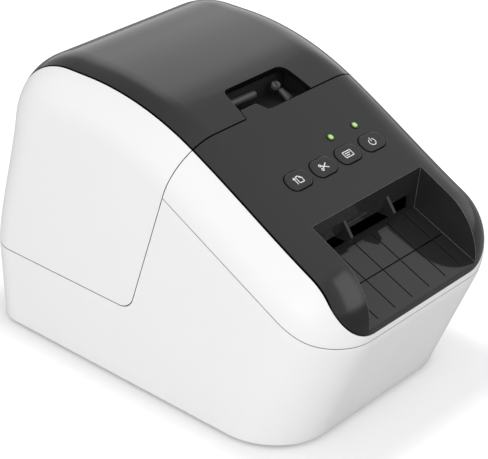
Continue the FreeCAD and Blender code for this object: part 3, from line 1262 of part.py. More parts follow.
for tooth in range(tooth_count):
    middle = first_tooth + tooth * tooth_step
    wide = tooth_half + (rack_pitch_y - rack_root) * flank_tan
    slim = tooth_half - (rack_tip - rack_pitch_y) * flank_tan
    rack_points.append(VECTOR(0, rack_root, middle - wide))
    rack_points.append(VECTOR(0, rack_tip, middle - slim))
    rack_points.append(VECTOR(0, rack_tip, middle + slim))
    rack_points.append(VECTOR(0, rack_root, middle + wide))
rack_points.append(VECTOR(0, rack_root, number(CARRIER_TOP)))
rack_points.append(VECTOR(0, number(BLADE_BACK), number(CARRIER_TOP)))
rack_points.append(rack_points[0])
rack_bar = add("Part::Feature", "rack_bar")
rack_bar.Shape = Part.Face(Part.makePolygon(rack_points)).extrude(VECTOR(number("gear_width + 1"), 0, 0))
rack_bar.Placement = FreeCAD.Placement(VECTOR(number("rack_x"), 0, 0), FreeCAD.Rotation())
node("blade_carrier", fuse("blade_carrier_fuse", [carrier_bar, rack_bar]))
guides = []
for side, sign in (("left", -1), ("right", 1)):
    near = "carrier_half - 3" if sign > 0 else "0 - chassis_half"
    block = box("guide_block_" + side, (near, "%s + chassis_half - carrier_half + 3" % near),
                ("%s - 2" % BLADE_BACK, "%s + 2" % CARRIER_BACK), ("chassis_base + plate", "fixed_blade_low"))
    channel_near = "carrier_half - 4" if sign > 0 else "0 - carrier_half - move_gap"
    channel = box("guide_channel_" + side, (channel_near, "%s + 4 + move_gap" % channel_near),
                  ("%s - move_gap" % BLADE_BACK, "%s + move_gap" % CARRIER_BACK),
                  ("carrier_low - 2", "fixed_blade_low + 1"))
    guides.append(cut("guide_" + side, block, [channel]))
node("cutter_guides", fuse("cutter_guides_fuse", guides))
cutter_phase = math.pi + math.pi / pinion_count
cutter_teeth = gear("cutter_pinion_teeth", (CUTTER_Y, "rack_pinion_z"), "rack_x + 0.5", "pinion_teeth", "0",
                    cutter_phase)
cutter_shaft = rod("cutter_pinion_shaft", "X", ("rack_x + 0.5", CUTTER_Y, "rack_pinion_z"), "gear_width + 10",
                   "motor_shaft")
node("cutter_pinion", fuse("cutter_pinion_fuse", [cutter_teeth, cutter_shaft]))
BRACKET_X = "(rack_x + gear_width + 3)"
cutter_can = rod("cutter_motor_can", "X", ("%s + plate" % BRACKET_X, CUTTER_Y, "rack_pinion_z"),
                 "cutter_motor_length", "cutter_motor_radius")
cutter_bore = rod("cutter_motor_bore", "X", ("%s - 1" % BRACKET_X, CUTTER_Y, "rack_pinion_z"), "10",
                  "motor_shaft + running_fit")
node("cutter_motor", cut("cutter_motor_cut", cutter_can, [cutter_bore]))
cutter_plate = box("cutter_bracket_plate", (BRACKET_X, "%s + plate" % BRACKET_X),
                   ("%s - cutter_motor_radius" % CUTTER_Y, "%s + cutter_motor_radius" % CUTTER_Y),
                   ("chassis_base + plate", "rack_pinion_z + cutter_motor_radius"))
cutter_foot = box("cutter_bracket_foot", (BRACKET_X, "%s + 12" % BRACKET_X),
                  ("%s - cutter_motor_radius" % CUTTER_Y, "%s + cutter_motor_radius" % CUTTER_Y),
                  ("chassis_base + plate", "chassis_base + 2 * plate"))
cutter_hole = rod("cutter_bracket_hole", "X", ("%s - 1" % BRACKET_X, CUTTER_Y, "rack_pinion_z"), "plate + 2",
                  "motor_shaft * 2")
node("cutter_bracket", cut("cutter_bracket_cut", fuse("cutter_bracket_fuse", [cutter_plate, cutter_foot]),
                           [cutter_hole]))

# Roll compartment: bin on its posts and two spool holders.
bin_outer = box("bin_outer", ("0 - %s" % BIN_SIDE, BIN_SIDE), ("bin_front", BIN_BACK), ("bin_floor", "bin_rim"))
bin_inner = box("bin_inner", ("bin_wall - %s" % BIN_SIDE, "%s - bin_wall" % BIN_SIDE),
                ("bin_front + bin_wall", "%s - bin_wall" % BIN_BACK), ("bin_floor + bin_wall", "bin_rim + 1"))
bin_tub = cut("bin_tub", bin_outer, [bin_inner])
bin_fence = box("bin_fence", ("0 - %s" % BIN_SIDE, BIN_SIDE), ("bin_front", "bin_front + bin_wall"),
                ("bin_floor", "bin_front_top"))
node("roll_bin", fuse("roll_bin_fuse", [bin_tub, bin_fence]))
for side, sign in (("left", -1), ("right", 1)):
    near = "spool_x" if sign > 0 else "0 - spool_x - spool_thick"
    base_near = "spool_x" if sign > 0 else "0 - spool_x - spool_thick - 8"
    upright = prism("spool_upright_" + side, "X", [
        ("spool_y - spool_half", "bin_floor + bin_wall"),
        ("spool_y + spool_half", "bin_floor + bin_wall"),
        ("spool_y + spool_half", "spool_z + 10", "4"),
        ("spool_y - spool_half", "spool_z + 10", "4"),
    ], near, "%s + spool_thick" % near)
    foot = box("spool_foot_" + side, (base_near, "%s + spool_thick + 8" % base_near),
               ("spool_y - spool_half", "spool_y + spool_half"), ("bin_floor + bin_wall", "bin_floor + bin_wall + 3"))
    notch = fuse("spool_notch_" + side, [
        box("spool_notch_way_" + side, ("%s - 1" % near, "%s + spool_thick + 1" % near),
            ("spool_y - spool_slot", "spool_y + spool_slot"), ("spool_z", "spool_z + 20")),
        rod("spool_notch_seat_" + side, "X", ("%s - 1" % near, "spool_y", "spool_z"), "spool_thick + 2", "spool_slot"),
    ])
    node("spool_holder_" + side, cut("spool_holder_cut_" + side, fuse("spool_blank_" + side, [upright, foot]), [notch]))

# Electronics below the mechanism and the roll bin.
main_sheet = plate_body("main_board_sheet", ("0 - main_half", "main_half"), ("main_front", "main_back"),
                        (BOARD_Z, "%s + board_thick" % BOARD_Z))
node("main_board", cut("main_board_cut", main_sheet, large_board_bores["main"]))
MAIN_TOP = "%s + board_thick" % BOARD_Z
main_parts = [
    box("main_chip", ("0 - 8", "8"), ("main_front + 24", "main_front + 40"), (MAIN_TOP, "%s + 2" % MAIN_TOP)),
    box("head_socket", ("0 - 18", "18"), ("main_front + 6", "main_front + 11"), (MAIN_TOP, "%s + 6" % MAIN_TOP)),
    box("motor_socket", ("main_half - 12", "main_half - 4"), ("main_front + 26", "main_front + 34"),
        (MAIN_TOP, "%s + 6" % MAIN_TOP)),
    box("power_socket", ("4 - main_half", "14 - main_half"), ("main_back - 14", "main_back - 8"),
        (MAIN_TOP, "%s + 7" % MAIN_TOP)),
]
node("main_board_parts", fuse("main_board_parts_fuse", main_parts))
power_sheet = plate_body("power_board_sheet", ("0 - power_half", "power_half"), ("power_front", "power_back"),
                         (POWER_Z, "%s + board_thick" % POWER_Z))
node("power_board", cut("power_board_cut", power_sheet, large_board_bores["power"]))
POWER_TOP = "%s + board_thick" % POWER_Z
power_parts = [
    box("transformer", ("0 - 16", "16"), ("power_front + 24", "power_front + 52"), (POWER_TOP, "bin_floor - 1")),
    box("power_sink", ("0 - 36", "0 - 32"), ("power_front + 20", "power_front + 56"), (POWER_TOP, "bin_floor - 2")),
    rod("capacitor", "Y", ("28", "power_front + 24", "%s + 6" % POWER_TOP), "26", "6"),
]
node("power_board_parts", fuse("power_board_parts_fuse", power_parts))

# Sockets in the back: mains inlet with two pins, data socket with its tongue.
SOCKET_FACE = "(%s - rear_undercut)" % BACK
inlet_block = box("inlet_block", ("inlet_x - inlet_width / 2", "inlet_x + inlet_width / 2"),
                  ("%s - inlet_depth" % SOCKET_FACE, SOCKET_FACE),
                  ("port_z - inlet_height / 2", "port_z + inlet_height / 2"))
inlet_hollows = [box("inlet_bridge", ("inlet_x - inlet_pin_offset", "inlet_x + inlet_pin_offset"),
                     ("%s - inlet_recess" % SOCKET_FACE, "%s + 1" % SOCKET_FACE),
                     ("port_z - inlet_neck", "port_z + inlet_neck"))]
inlet_pin_rods = []
for side, sign in (("left", "-"), ("right", "+")):
    seat = ("inlet_x %s inlet_pin_offset" % sign, "%s - inlet_recess" % SOCKET_FACE, "port_z")
    inlet_hollows.append(rod("inlet_round_" + side, "Y", seat, "inlet_recess + 1", "inlet_lobe"))
    inlet_pin_rods.append(rod("inlet_pin_" + side, "Y", seat, "inlet_recess - inlet_pin_short", "inlet_pin_radius"))
node("mains_inlet", cut("mains_inlet_cut", inlet_block, inlet_hollows))
node("inlet_pins", fuse("inlet_pins_fuse", inlet_pin_rods))
usb_block = box("usb_block", ("usb_x - usb_width / 2", "usb_x + usb_width / 2"),
                ("%s - usb_depth" % SOCKET_FACE, SOCKET_FACE),
                ("port_z - usb_height / 2", "port_z + usb_height / 2"))
SOCKET_BACK = "(%s - usb_depth + usb_wall * 2)" % SOCKET_FACE
usb_hollow = box("usb_hollow", ("usb_x - usb_width / 2 + usb_wall", "usb_x + usb_width / 2 - usb_wall"),
                 (SOCKET_BACK, "%s + 1" % SOCKET_FACE),
                 ("port_z - usb_height / 2 + usb_wall", "port_z + usb_height / 2 - usb_wall"))
node("data_socket", cut("data_socket_cut", usb_block, [usb_hollow]))
node("socket_tongue", box("socket_tongue_block", ("usb_x - usb_tongue_half", "usb_x + usb_tongue_half"),
                          (SOCKET_BACK, "%s - usb_tongue_short" % SOCKET_FACE),
                          ("port_z - usb_tongue_rise", "port_z + usb_tongue_rise")))

doc.recompute()
faults = []
for item in doc.Objects:
    if "Invalid" in item.State or "Error" in item.State:
        faults.append("%s %s" % (item.Name, item.State))
for name, item in NODES:
    if item.Shape.isNull():
        faults.append("%s has no shape" % name)
    elif not item.Shape.isValid():
        faults.append("%s is not valid" % name)
    elif not item.Shape.Solids:
        faults.append("%s has no solid" % name)
if faults:
    raise RuntimeError("; ".join(faults))
os.makedirs("parts", exist_ok=True)
for name, item in NODES:
    item.Shape.exportStep("parts/%s.step" % name)
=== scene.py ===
import json
import math

import bmesh
import bpy
from bpy.props import FloatProperty, FloatVectorProperty, IntProperty, PointerProperty
from mathutils import Matrix, Vector


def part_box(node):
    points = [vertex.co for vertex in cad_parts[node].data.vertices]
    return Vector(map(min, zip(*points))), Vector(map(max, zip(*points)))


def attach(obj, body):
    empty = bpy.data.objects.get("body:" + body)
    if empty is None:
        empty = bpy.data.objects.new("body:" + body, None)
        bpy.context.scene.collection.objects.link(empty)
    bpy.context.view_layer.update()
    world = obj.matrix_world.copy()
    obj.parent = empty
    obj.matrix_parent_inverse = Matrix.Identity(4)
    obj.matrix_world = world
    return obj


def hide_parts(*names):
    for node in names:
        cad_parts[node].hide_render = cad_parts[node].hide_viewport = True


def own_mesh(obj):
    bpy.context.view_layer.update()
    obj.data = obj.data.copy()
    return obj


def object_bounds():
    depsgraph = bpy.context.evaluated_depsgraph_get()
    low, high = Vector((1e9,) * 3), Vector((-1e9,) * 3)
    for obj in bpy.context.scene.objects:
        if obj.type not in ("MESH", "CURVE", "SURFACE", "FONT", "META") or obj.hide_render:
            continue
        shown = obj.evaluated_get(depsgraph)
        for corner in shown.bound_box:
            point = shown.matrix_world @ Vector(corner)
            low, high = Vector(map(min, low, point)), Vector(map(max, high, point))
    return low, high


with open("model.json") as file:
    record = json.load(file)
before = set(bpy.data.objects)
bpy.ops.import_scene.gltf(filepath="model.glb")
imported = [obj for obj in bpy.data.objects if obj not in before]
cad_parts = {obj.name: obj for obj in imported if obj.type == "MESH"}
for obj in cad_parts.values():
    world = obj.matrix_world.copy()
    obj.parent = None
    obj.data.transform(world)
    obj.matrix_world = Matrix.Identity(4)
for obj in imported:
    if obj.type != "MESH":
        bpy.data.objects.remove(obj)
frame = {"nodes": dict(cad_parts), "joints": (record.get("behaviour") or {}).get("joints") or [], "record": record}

bl_info = {
    "name": "Label printer dressing",
    "version": (1, 0, 0),
    "blender": (4, 5, 0),
    "location": "View3D > Sidebar > Label printer",
    "description": "Finishes, printed marks and small fittings of a desktop label printer",
    "category": "Object",
}

CAD_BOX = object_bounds()
MM = 0.001
NODES = frame["nodes"]
JOINTS = {joint["name"]: joint for joint in frame["joints"]}

# The buttons press straight into the panel, so their axis gives the panel's slope.
PANEL_NORMAL = -Vector(JOINTS["feed_press"]["axis"]).normalized()
PANEL_UP = PANEL_NORMAL.cross(Vector((1, 0, 0)))
KEYS = ("feed", "cut", "function", "power")

# Ramps: the value before and after a change, then where the change starts and ends.
OPEN_FACE = (0.0, 1.0, 0.3, 0.85)
SHARP_EDGE = (1.0, 0.0, 0.85, 0.98)
SOLDER_PAD = (1.0, 0.0, 0.13, 0.17)
HEATING_LINE = (1.0, 0.0, 0.3 * MM, 0.5 * MM)
# Floor glow: weak at the case as a painted shadow, rising to an even white lift away from it.
FLOOR_LIFT_AND_SHADOW = (0.16, 0.55, 0.0, 0.03)

# Surroundings that only a mirror shows, as ramps along a direction to the right or to the back.
FRONT_RISE = (0.0, 0.34, -0.5, -0.35)
FRONT_FALL = (0.34, 0.0, -0.2, 0.0)
ROOM = (0.86, 0.68, 0.0, 0.4)
BOX_RIGHT = (0.0, 1.0, 0.3, 0.5)
BOX_BACK = (0.0, 1.0, 0.2, 0.38)
BOX_FADE = (0.9, 0.5, 0.36, 0.72)

# Finishes: spots per metre, heights, and shares of a tone, a roughness or a reach.
DRIFT_SPOTS = 22.0
# Painted shade: share of a colour left deep in seams, in grooves and along the painted seam lines.
SEAM_SHADE_TONE = 0.08
SEAM_ROUNDING = 0.25
BRUSH_LINES = 1800.0
BRUSH_BLOTCHES = 60.0
BLOTCH_TONES = (0.9, 1.08)
BRUSH_ROUGH = (0.7, 1.3)
BRUSH_HEIGHT = 0.004 * MM
LENS_RIM = (0.03, 0.06, 0.02)
LENS_GLOW = 0.95
PANEL_TONE = 1.25
PANEL_SATIN = {"rough": 0.2, "grain": 1900.0, "height": 0.003 * MM, "drift": 0.05, "gloss": 0.42}

# Painted shade along the seam between the lid and the panel, the tongue that interrupts it, and painted shade on
# the cut edges of the window.
SEAM_LEAN = math.radians(19.2)
SEAM_WIDTH = 0.7 * MM
TONGUE_MIDDLE = 4 * MM
TONGUE_HALF = 8 * MM
WINDOW_SIDE = 5 * MM
WINDOW_BACK = 2 * MM
# Painted shade: share of the lid's tone kept on the cut edges of the window.
WINDOW_EDGE_SHADE = 0.3
FACES_UP = 0.6

# Label tray: its room beside its opening, its start under the slope, its smoothness, its tone painted lighter to
# stand in for the light it lacks, the painted highlight on its rim and the painted shade in its grooves.
# The slope itself lies under the button faces by their rise.
TRAY_ROOM = 1.1 * MM
TRAY_START = 0.4 * MM
TRAY_ROUGH = 0.07
TRAY_GLOSS = 0.47
# Painted light: the tray's colour is the panel's made lighter by this share.
TRAY_PAINTED_LIGHT_TONE = 1.6
# Painted highlight: reach, rounding and pale colour of the line along the tray's rim.
RIM_REACH = 0.5 * MM
RIM_RADIUS = 0.4 * MM
RIM_HIGHLIGHT_COLOUR = (0.22, 0.22, 0.22)
GROOVE_MIDDLE = 0.35 * MM
GROOVE_HALF = 0.28 * MM
GROOVE_EDGE = 0.25 * MM
FLOOR_BAND = 0.05 * MM
GROOVE_INSET = 0.4 * MM
LIP_DEPTH = 2 * MM
BUTTON_RISE = 0.45 * MM

# Limits: how near the points of one face or the same point lie, and how far a normal has to point one way.
FLAT = 0.01 * MM
SAME = 0.001 * MM
FACING = 0.9

# Button marks: points across and up from the middle of a face in millimetres, and shares of the line width.
ARROW_STEM = ((-1.75, -1.7), (-1.75, 1.7))
ARROW_HEAD = ((-2.35, 0.95), (-1.75, 1.7), (-1.2, 0.95))
PAGE = ((-0.5, -1.7), (-0.5, 1.7), (1.15, 1.7), (2.25, 0.5), (2.25, -1.7))
PAGE_FOLD = ((1.15, 1.7), (1.15, 0.5), (2.25, 0.5))
FOLD_LINE = 0.7
CUT_BLADE = ((-1.0, -0.75), (2.1, 1.2))
CUT_LINE = 1.15
CUT_GRIP = (-1.5, -1.05)
GRIP_RADIUS = 0.55 * MM
LABEL = ((-2.5, -1.5), (2.5, -1.5), (2.5, 1.5), (-2.5, 1.5))
LABEL_LINES = (((-1.5, 0.5), (1.5, 0.5)), ((-1.5, -0.5), (0.5, -0.5)))
POWER_MIDDLE = (0, -0.2 * MM)
POWER_RADIUS = 1.75 * MM
POWER_GAP = 70.0
POWER_LINE = ((0, 0.3), (0, 2.0))

# Status lights: shares of the radius with heights in millimetres, from the rim to the middle of a lens.
LENS_DOME = ((0.93, 0.0), (0.76, 0.14), (0.6, 0.21), (0.35, 0.27), (0.0, 0.3))
LENS_EDGE = 0.1 * MM
LIT_SHARE = 0.65
BEZEL_WIDTH = 0.4 * MM
BEZEL_RISE = 0.05 * MM

# Lid window: places from a corner of its opening, and profiles as shares of a radius and a height.
WELL_PAST_LOW = Vector((4.2, 0.5, 1.5)) * MM
WELL_PAST_HIGH = Vector((6.3, 3.3, 0.0)) * MM
WELL_RIM = 10.6 * MM
WELL_SLOPE = Vector((0, -0.4, 1.0))
BAR_START = Vector((-3.6, 1.4, 4.0)) * MM
BAR_END = Vector((20.2, 0.6, 4.0)) * MM
KNOB_FOOT = Vector((-4.6, 0.5, -1.0)) * MM
KNOB_LEAN = Vector((-0.15, -0.4, 1.0))
KNOB_TOP = 7.6 * MM
KNOB_PROFILE = ((0.0, 0.7), (1.0, 0.75), (1.0, 0.95), (0.9, 1.0), (0.0, 1.0))
POST_PROFILE = ((0.0, 0.0), (0.5, 0.0), (0.5, 0.74), (0.0, 0.74))
SLIT_HALF = 0.75
SLIT_WIDTH = 0.3
SLIT_RISE = 0.08 * MM
LEVER_FOOT = Vector((-4.2, 1.2, 0.2)) * MM
LEVER_HEAD = Vector((-5.2, -4.1, 4.0)) * MM
LEVER_FLATNESS = 0.4
LEVER_TAPER = 0.58
LEVER_ROUNDING = 0.35 * MM

# Exit slot: a ledge placed from the slot's upper left edge, and a near-black sheet of painted shade with a gap for
# the label.
LEDGE_NEAR = Vector((0.6, 4.5, 4.2)) * MM
LEDGE_FAR = Vector((13.8, 6.0, 4.9)) * MM
LEDGE_ROUNDING = 0.15 * MM
SHADE_SHEET_INSET = 2.5 * MM
SHADE_SHEET_AHEAD = 0.15 * MM
SHADE_SHEET_THICKNESS = 0.6 * MM
SHADE_SHEET_DROP = 9 * MM
GAP_LOW = 1.7 * MM
GAP_HIGH = 0.1 * MM

# Head springs.
SPRING_WIRE = 0.45 * MM
WIRE_SIDES = 8
SPRING_TURNS = 5
TURN_STEPS = 20

# Studio: places and sizes in metres, lens and sensor in millimetres, and the floor's tone in a mirror.
KEY_PLACE = (-1.05, -0.3, 0.22)
KEY_SIZE = (0.7, 0.4)
TOP_PLACE = (-0.3, -0.75, 1.15)
TOP_SIZE = (0.9, 0.9)
FRONT_PLACE = (0.138, -0.946, 0.585)
FRONT_SIZE = (0.65, 1.0)
FLOOR_RADIUS = 6.0
FLOOR_STEPS = 96
MIRRORED_FLOOR = 0.5
CAMERA_PLACE = (-0.510271, -0.464534, 0.440282)
CAMERA_AZIMUTH = math.radians(-47.91)
CAMERA_ELEVATION = math.radians(28.964)
CAMERA_LENS = 127.35
CAMERA_SENSOR = 36.0
CAMERA_NEAR = 0.01

# What all properties of one kind share.
LENGTH = {"subtype": "DISTANCE", "unit": "LENGTH"}
POWER = {"subtype": "POWER", "unit": "POWER", "min": 0.0, "max": 100.0}
COLOUR = {"subtype": "COLOR", "size": 3, "min": 0.0, "max": 1.0}


class CaseSettings(bpy.types.PropertyGroup):
    """Colours and finish of the case."""

    white: FloatVectorProperty(
        name="White shells", description="Colour of the white moulded shells",
        **COLOUR, default=(0.86, 0.86, 0.865))
    dark: FloatVectorProperty(
        name="Dark shells", description="Colour of the dark lid, panel and buttons",
        **COLOUR, default=(0.0105, 0.0105, 0.0108))
    lamp: FloatVectorProperty(
        name="Status lights", description="Colour of the lit status lights",
        **COLOUR, default=(0.5, 0.75, 0.25))
    edge: FloatProperty(
        name="Edge rounding", description="Small rounding of the moulded edges",
        **LENGTH, min=0.0, max=0.001, default=0.25 * MM)
    seam: FloatProperty(
        name="Seam shade", description="Reach of the dark shade in the seams between the shells",
        **LENGTH, min=0.0, max=0.01, default=1.2 * MM)


class MarkSettings(bpy.types.PropertyGroup):
    """Sizes of the printed marks on the buttons."""

    line: FloatProperty(
        name="Line width", description="Width of the printed lines",
        **LENGTH, min=0.0001, max=0.001, default=0.4 * MM)
    rise: FloatProperty(
        name="Print thickness", description="Height of the print above the button face",
        **LENGTH, min=0.00001, max=0.0002, default=0.04 * MM)


class WindowSettings(bpy.types.PropertyGroup):
    """Sizes of the fittings under the lid window."""

    wall: FloatProperty(
        name="Well wall", description="Thickness of the well under the window",
        **LENGTH, min=0.0005, max=0.003, default=1.0 * MM)
    bar_radius: FloatProperty(
        name="Bar radius", description="Radius of the round bar in the well",
        **LENGTH, min=0.0005, max=0.004, default=1.8 * MM)
    knob_radius: FloatProperty(
        name="Knob radius", description="Radius of the slotted knob in the well",
        **LENGTH, min=0.0005, max=0.004, default=2.1 * MM)
    lever_width: FloatProperty(
        name="Lever width", description="Half diagonal of the lever at its wide end",
        **LENGTH, min=0.0005, max=0.006, default=3.2 * MM)


class StageSettings(bpy.types.PropertyGroup):
    """Light level and floor of the studio."""

    sky: FloatProperty(
        name="Sky", description="Even light from all round", min=0.0, max=2.0, default=0.81)
    key: FloatProperty(
        name="Key lamp", description="Power of the soft lamp on the left, which fills without a shadow",
        **POWER, default=2.7)
    top: FloatProperty(
        name="Top lamp", description="Power of the soft lamp above",
        **POWER, default=2.3)
    front: FloatProperty(
        name="Front lamp", description="Power of the lamp in front, seen only as a reflection",
        **POWER, default=3.3)
    floor: FloatProperty(
        name="Floor tone", description="Brightness of the floor", min=0.0, max=1.0, default=0.8)


# Material building blocks.
def start_material(name):
    """New node material: the material, its tree and its shader."""
    material = bpy.data.materials.new(name)
    material.use_nodes = True
    tree = material.node_tree
    return material, tree, tree.nodes["Principled BSDF"]


def surface_place(tree, stretch=(1, 1, 1)):
    """Object coordinates, stretched for a pattern."""
    place = tree.nodes.new("ShaderNodeTexCoord")
    mapping = tree.nodes.new("ShaderNodeMapping")
    mapping.inputs["Scale"].default_value = stretch
    tree.links.new(place.outputs["Object"], mapping.inputs["Vector"])
    return mapping.outputs["Vector"]


def along(tree, direction, source="Object"):
    """Part of a surface point's place, or of its normal, along a direction."""
    node = tree.nodes.new("ShaderNodeVectorMath")
    node.operation = "DOT_PRODUCT"
    node.inputs[1].default_value = direction
    tree.links.new(tree.nodes.new("ShaderNodeTexCoord").outputs[source], node.inputs[0])
    return node.outputs["Value"]


def combine(tree, operation, *values):
    """Arithmetic on numbers and sockets."""
    node = tree.nodes.new("ShaderNodeMath")
    node.operation = operation
    for socket, value in zip(node.inputs, values):
        if isinstance(value, bpy.types.NodeSocket):
            tree.links.new(value, socket)
        else:
            socket.default_value = value
    return node.outputs["Value"]


def beyond(tree, value, middle, half):
    """1 where a value is further than a half width from its middle."""
    apart = combine(tree, "ABSOLUTE", combine(tree, "SUBTRACT", value, middle))
    return combine(tree, "GREATER_THAN", apart, half)


def within(tree, value, middle, half):
    """1 where a value is no further than a half width from its middle."""
    return combine(tree, "SUBTRACT", 1.0, beyond(tree, value, middle, half))


def cloud(tree, place, per_metre, detail=2.0):
    """Soft noise with so many spots per metre."""
    noise = tree.nodes.new("ShaderNodeTexNoise")
    noise.inputs["Scale"].default_value = per_metre
    noise.inputs["Detail"].default_value = detail
    tree.links.new(place, noise.inputs["Vector"])
    return noise.outputs["Fac"]


def spread(tree, factor, low, high, start=0.3, end=0.7, step="LINEAR"):
    """Pattern values moved to a range."""
    node = tree.nodes.new("ShaderNodeMapRange")
    node.interpolation_type = step
    node.inputs["From Min"].default_value = start
    node.inputs["From Max"].default_value = end
    node.inputs["To Min"].default_value = low
    node.inputs["To Max"].default_value = high
    tree.links.new(factor, node.inputs["Value"])
    return node.outputs["Result"]


def between(tree, factor, first, second):
    """Colour between two colours or colour sockets."""
    node = tree.nodes.new("ShaderNodeMix")
    node.data_type = "RGBA"
    sockets = [socket for socket in node.inputs if socket.type == "RGBA"]
    for socket, value in zip(sockets, (first, second)):
        if isinstance(value, bpy.types.NodeSocket):
            tree.links.new(value, socket)
        else:
            socket.default_value = (*value, 1.0)
    tree.links.new(factor, node.inputs["Factor"])
    return [socket for socket in node.outputs if socket.type == "RGBA"][0]


def relief(tree, shader, factor, height, edge=0.0):
    """Fine relief of the surface, on top of slightly rounded edges."""
    node = tree.nodes.new("ShaderNodeBump")
    node.inputs["Distance"].default_value = height
    tree.links.new(factor, node.inputs["Height"])
    if edge > 0:
        tree.links.new(rounded(tree, edge), node.inputs["Normal"])
    tree.links.new(node.outputs["Normal"], shader.inputs["Normal"])


def rounded(tree, radius):
    """Surface normal as if the edges were rounded."""
    node = tree.nodes.new("ShaderNodeBevel")
    node.samples = 6
    node.inputs["Radius"].default_value = radius
    return node.outputs["Normal"]


def edge_lines(tree, radius):
    """1 along edges, falling to 0 on flat faces."""
    node = tree.nodes.new("ShaderNodeVectorMath")
    node.operation = "DOT_PRODUCT"
    tree.links.new(rounded(tree, radius), node.inputs[0])
    tree.links.new(tree.nodes.new("ShaderNodeNewGeometry").outputs["Normal"], node.inputs[1])
    return spread(tree, node.outputs["Value"], *SHARP_EDGE)


def crevice_shade(tree, reach):
    """1 on open faces, falling to 0 deep in a narrow seam, where shade is painted."""
    node = tree.nodes.new("ShaderNodeAmbientOcclusion")
    node.samples = 8
    node.inputs["Distance"].default_value = reach
    tree.links.new(rounded(tree, reach * SEAM_ROUNDING), node.inputs["Normal"])
    return spread(tree, node.outputs["AO"], *OPEN_FACE)


def shade(colour, amount):
    """Colour made lighter or darker."""
    return tuple(min(1.0, value * amount) for value in colour)


def moulded(name, colour, rough, grain=1600.0, height=0.004 * MM, edge=0.0, drift=0.03, seam=0.0,
            gloss=0.5, lines=None):
    """Moulded plastic: faint drift of tone, fine grain, a little change of gloss and painted shade in the seams.
    """
    material, tree, shader = start_material(name)
    place = surface_place(tree)
    wide = cloud(tree, place, DRIFT_SPOTS, 3.0)
    fine = cloud(tree, place, grain)
    tone = between(tree, spread(tree, wide, 0.0, 1.0), shade(colour, 1 - drift), shade(colour, 1 + drift))
    shader.inputs["Specular IOR Level"].default_value = gloss
    # Painted shade: deep in seams and along the given lines, the colour falls to a dark share and the gloss to
    # nothing.
    if seam > 0:
        open_face = crevice_shade(tree, seam)
        if lines:
            open_face = combine(tree, "MINIMUM", open_face, lines(tree))
        tone = between(tree, open_face, shade(colour, SEAM_SHADE_TONE), tone)
        tree.links.new(spread(tree, open_face, 0.0, gloss, 0.0, 1.0), shader.inputs["Specular IOR Level"])
    tree.links.new(tone, shader.inputs["Base Color"])
    tree.links.new(spread(tree, fine, rough * (1 - drift), rough * (1 + drift)), shader.inputs["Roughness"])
    relief(tree, shader, fine, height, edge)
    return material


def brushed(name, colour, rough, stretch, edge=0.0):
    """Metal with fine lines along one direction."""
    material, tree, shader = start_material(name)
    lines = cloud(tree, surface_place(tree, stretch), BRUSH_LINES, 3.0)
    blotch = cloud(tree, surface_place(tree), BRUSH_BLOTCHES)
    dull, bright = (shade(colour, share) for share in BLOTCH_TONES)
    tree.links.new(between(tree, spread(tree, blotch, 0.0, 1.0), dull, bright), shader.inputs["Base Color"])
    shader.inputs["Metallic"].default_value = 1.0
    smooth, coarse = (rough * share for share in BRUSH_ROUGH)
    tree.links.new(spread(tree, lines, smooth, coarse), shader.inputs["Roughness"])
    relief(tree, shader, lines, BRUSH_HEIGHT, edge)
    return material


def rubber(name, colour):
    """Matt rubber with a fine dusty grain."""
    return moulded(name, colour, rough=0.72, grain=1100.0, height=0.03 * MM, edge=0.3 * MM, drift=0.15,
                   gloss=0.3)


def laminate(name):
    """Circuit board: green lacquer over fine tracks, with tinned spots."""
    material, tree, shader = start_material(name)
    place = surface_place(tree)
    tracks = tree.nodes.new("ShaderNodeTexBrick")
    tracks.inputs["Scale"].default_value = 160.0
    tracks.inputs["Mortar Size"].default_value = 0.03
    tracks.inputs["Color1"].default_value = (0.004, 0.085, 0.03, 1.0)
    tracks.inputs["Color2"].default_value = (0.005, 0.10, 0.035, 1.0)
    tracks.inputs["Mortar"].default_value = (0.012, 0.17, 0.06, 1.0)
    tree.links.new(place, tracks.inputs["Vector"])
    spots = tree.nodes.new("ShaderNodeTexVoronoi")
    spots.inputs["Scale"].default_value = 260.0
    tree.links.new(place, spots.inputs["Vector"])
    pads = spread(tree, spots.outputs["Distance"], *SOLDER_PAD)
    tone = between(tree, pads, tracks.outputs["Color"], (0.55, 0.55, 0.52))
    tree.links.new(tone, shader.inputs["Base Color"])
    tree.links.new(pads, shader.inputs["Metallic"])
    shader.inputs["Roughness"].default_value = 0.32
    relief(tree, shader, tracks.outputs["Fac"], 0.03 * MM)
    return material


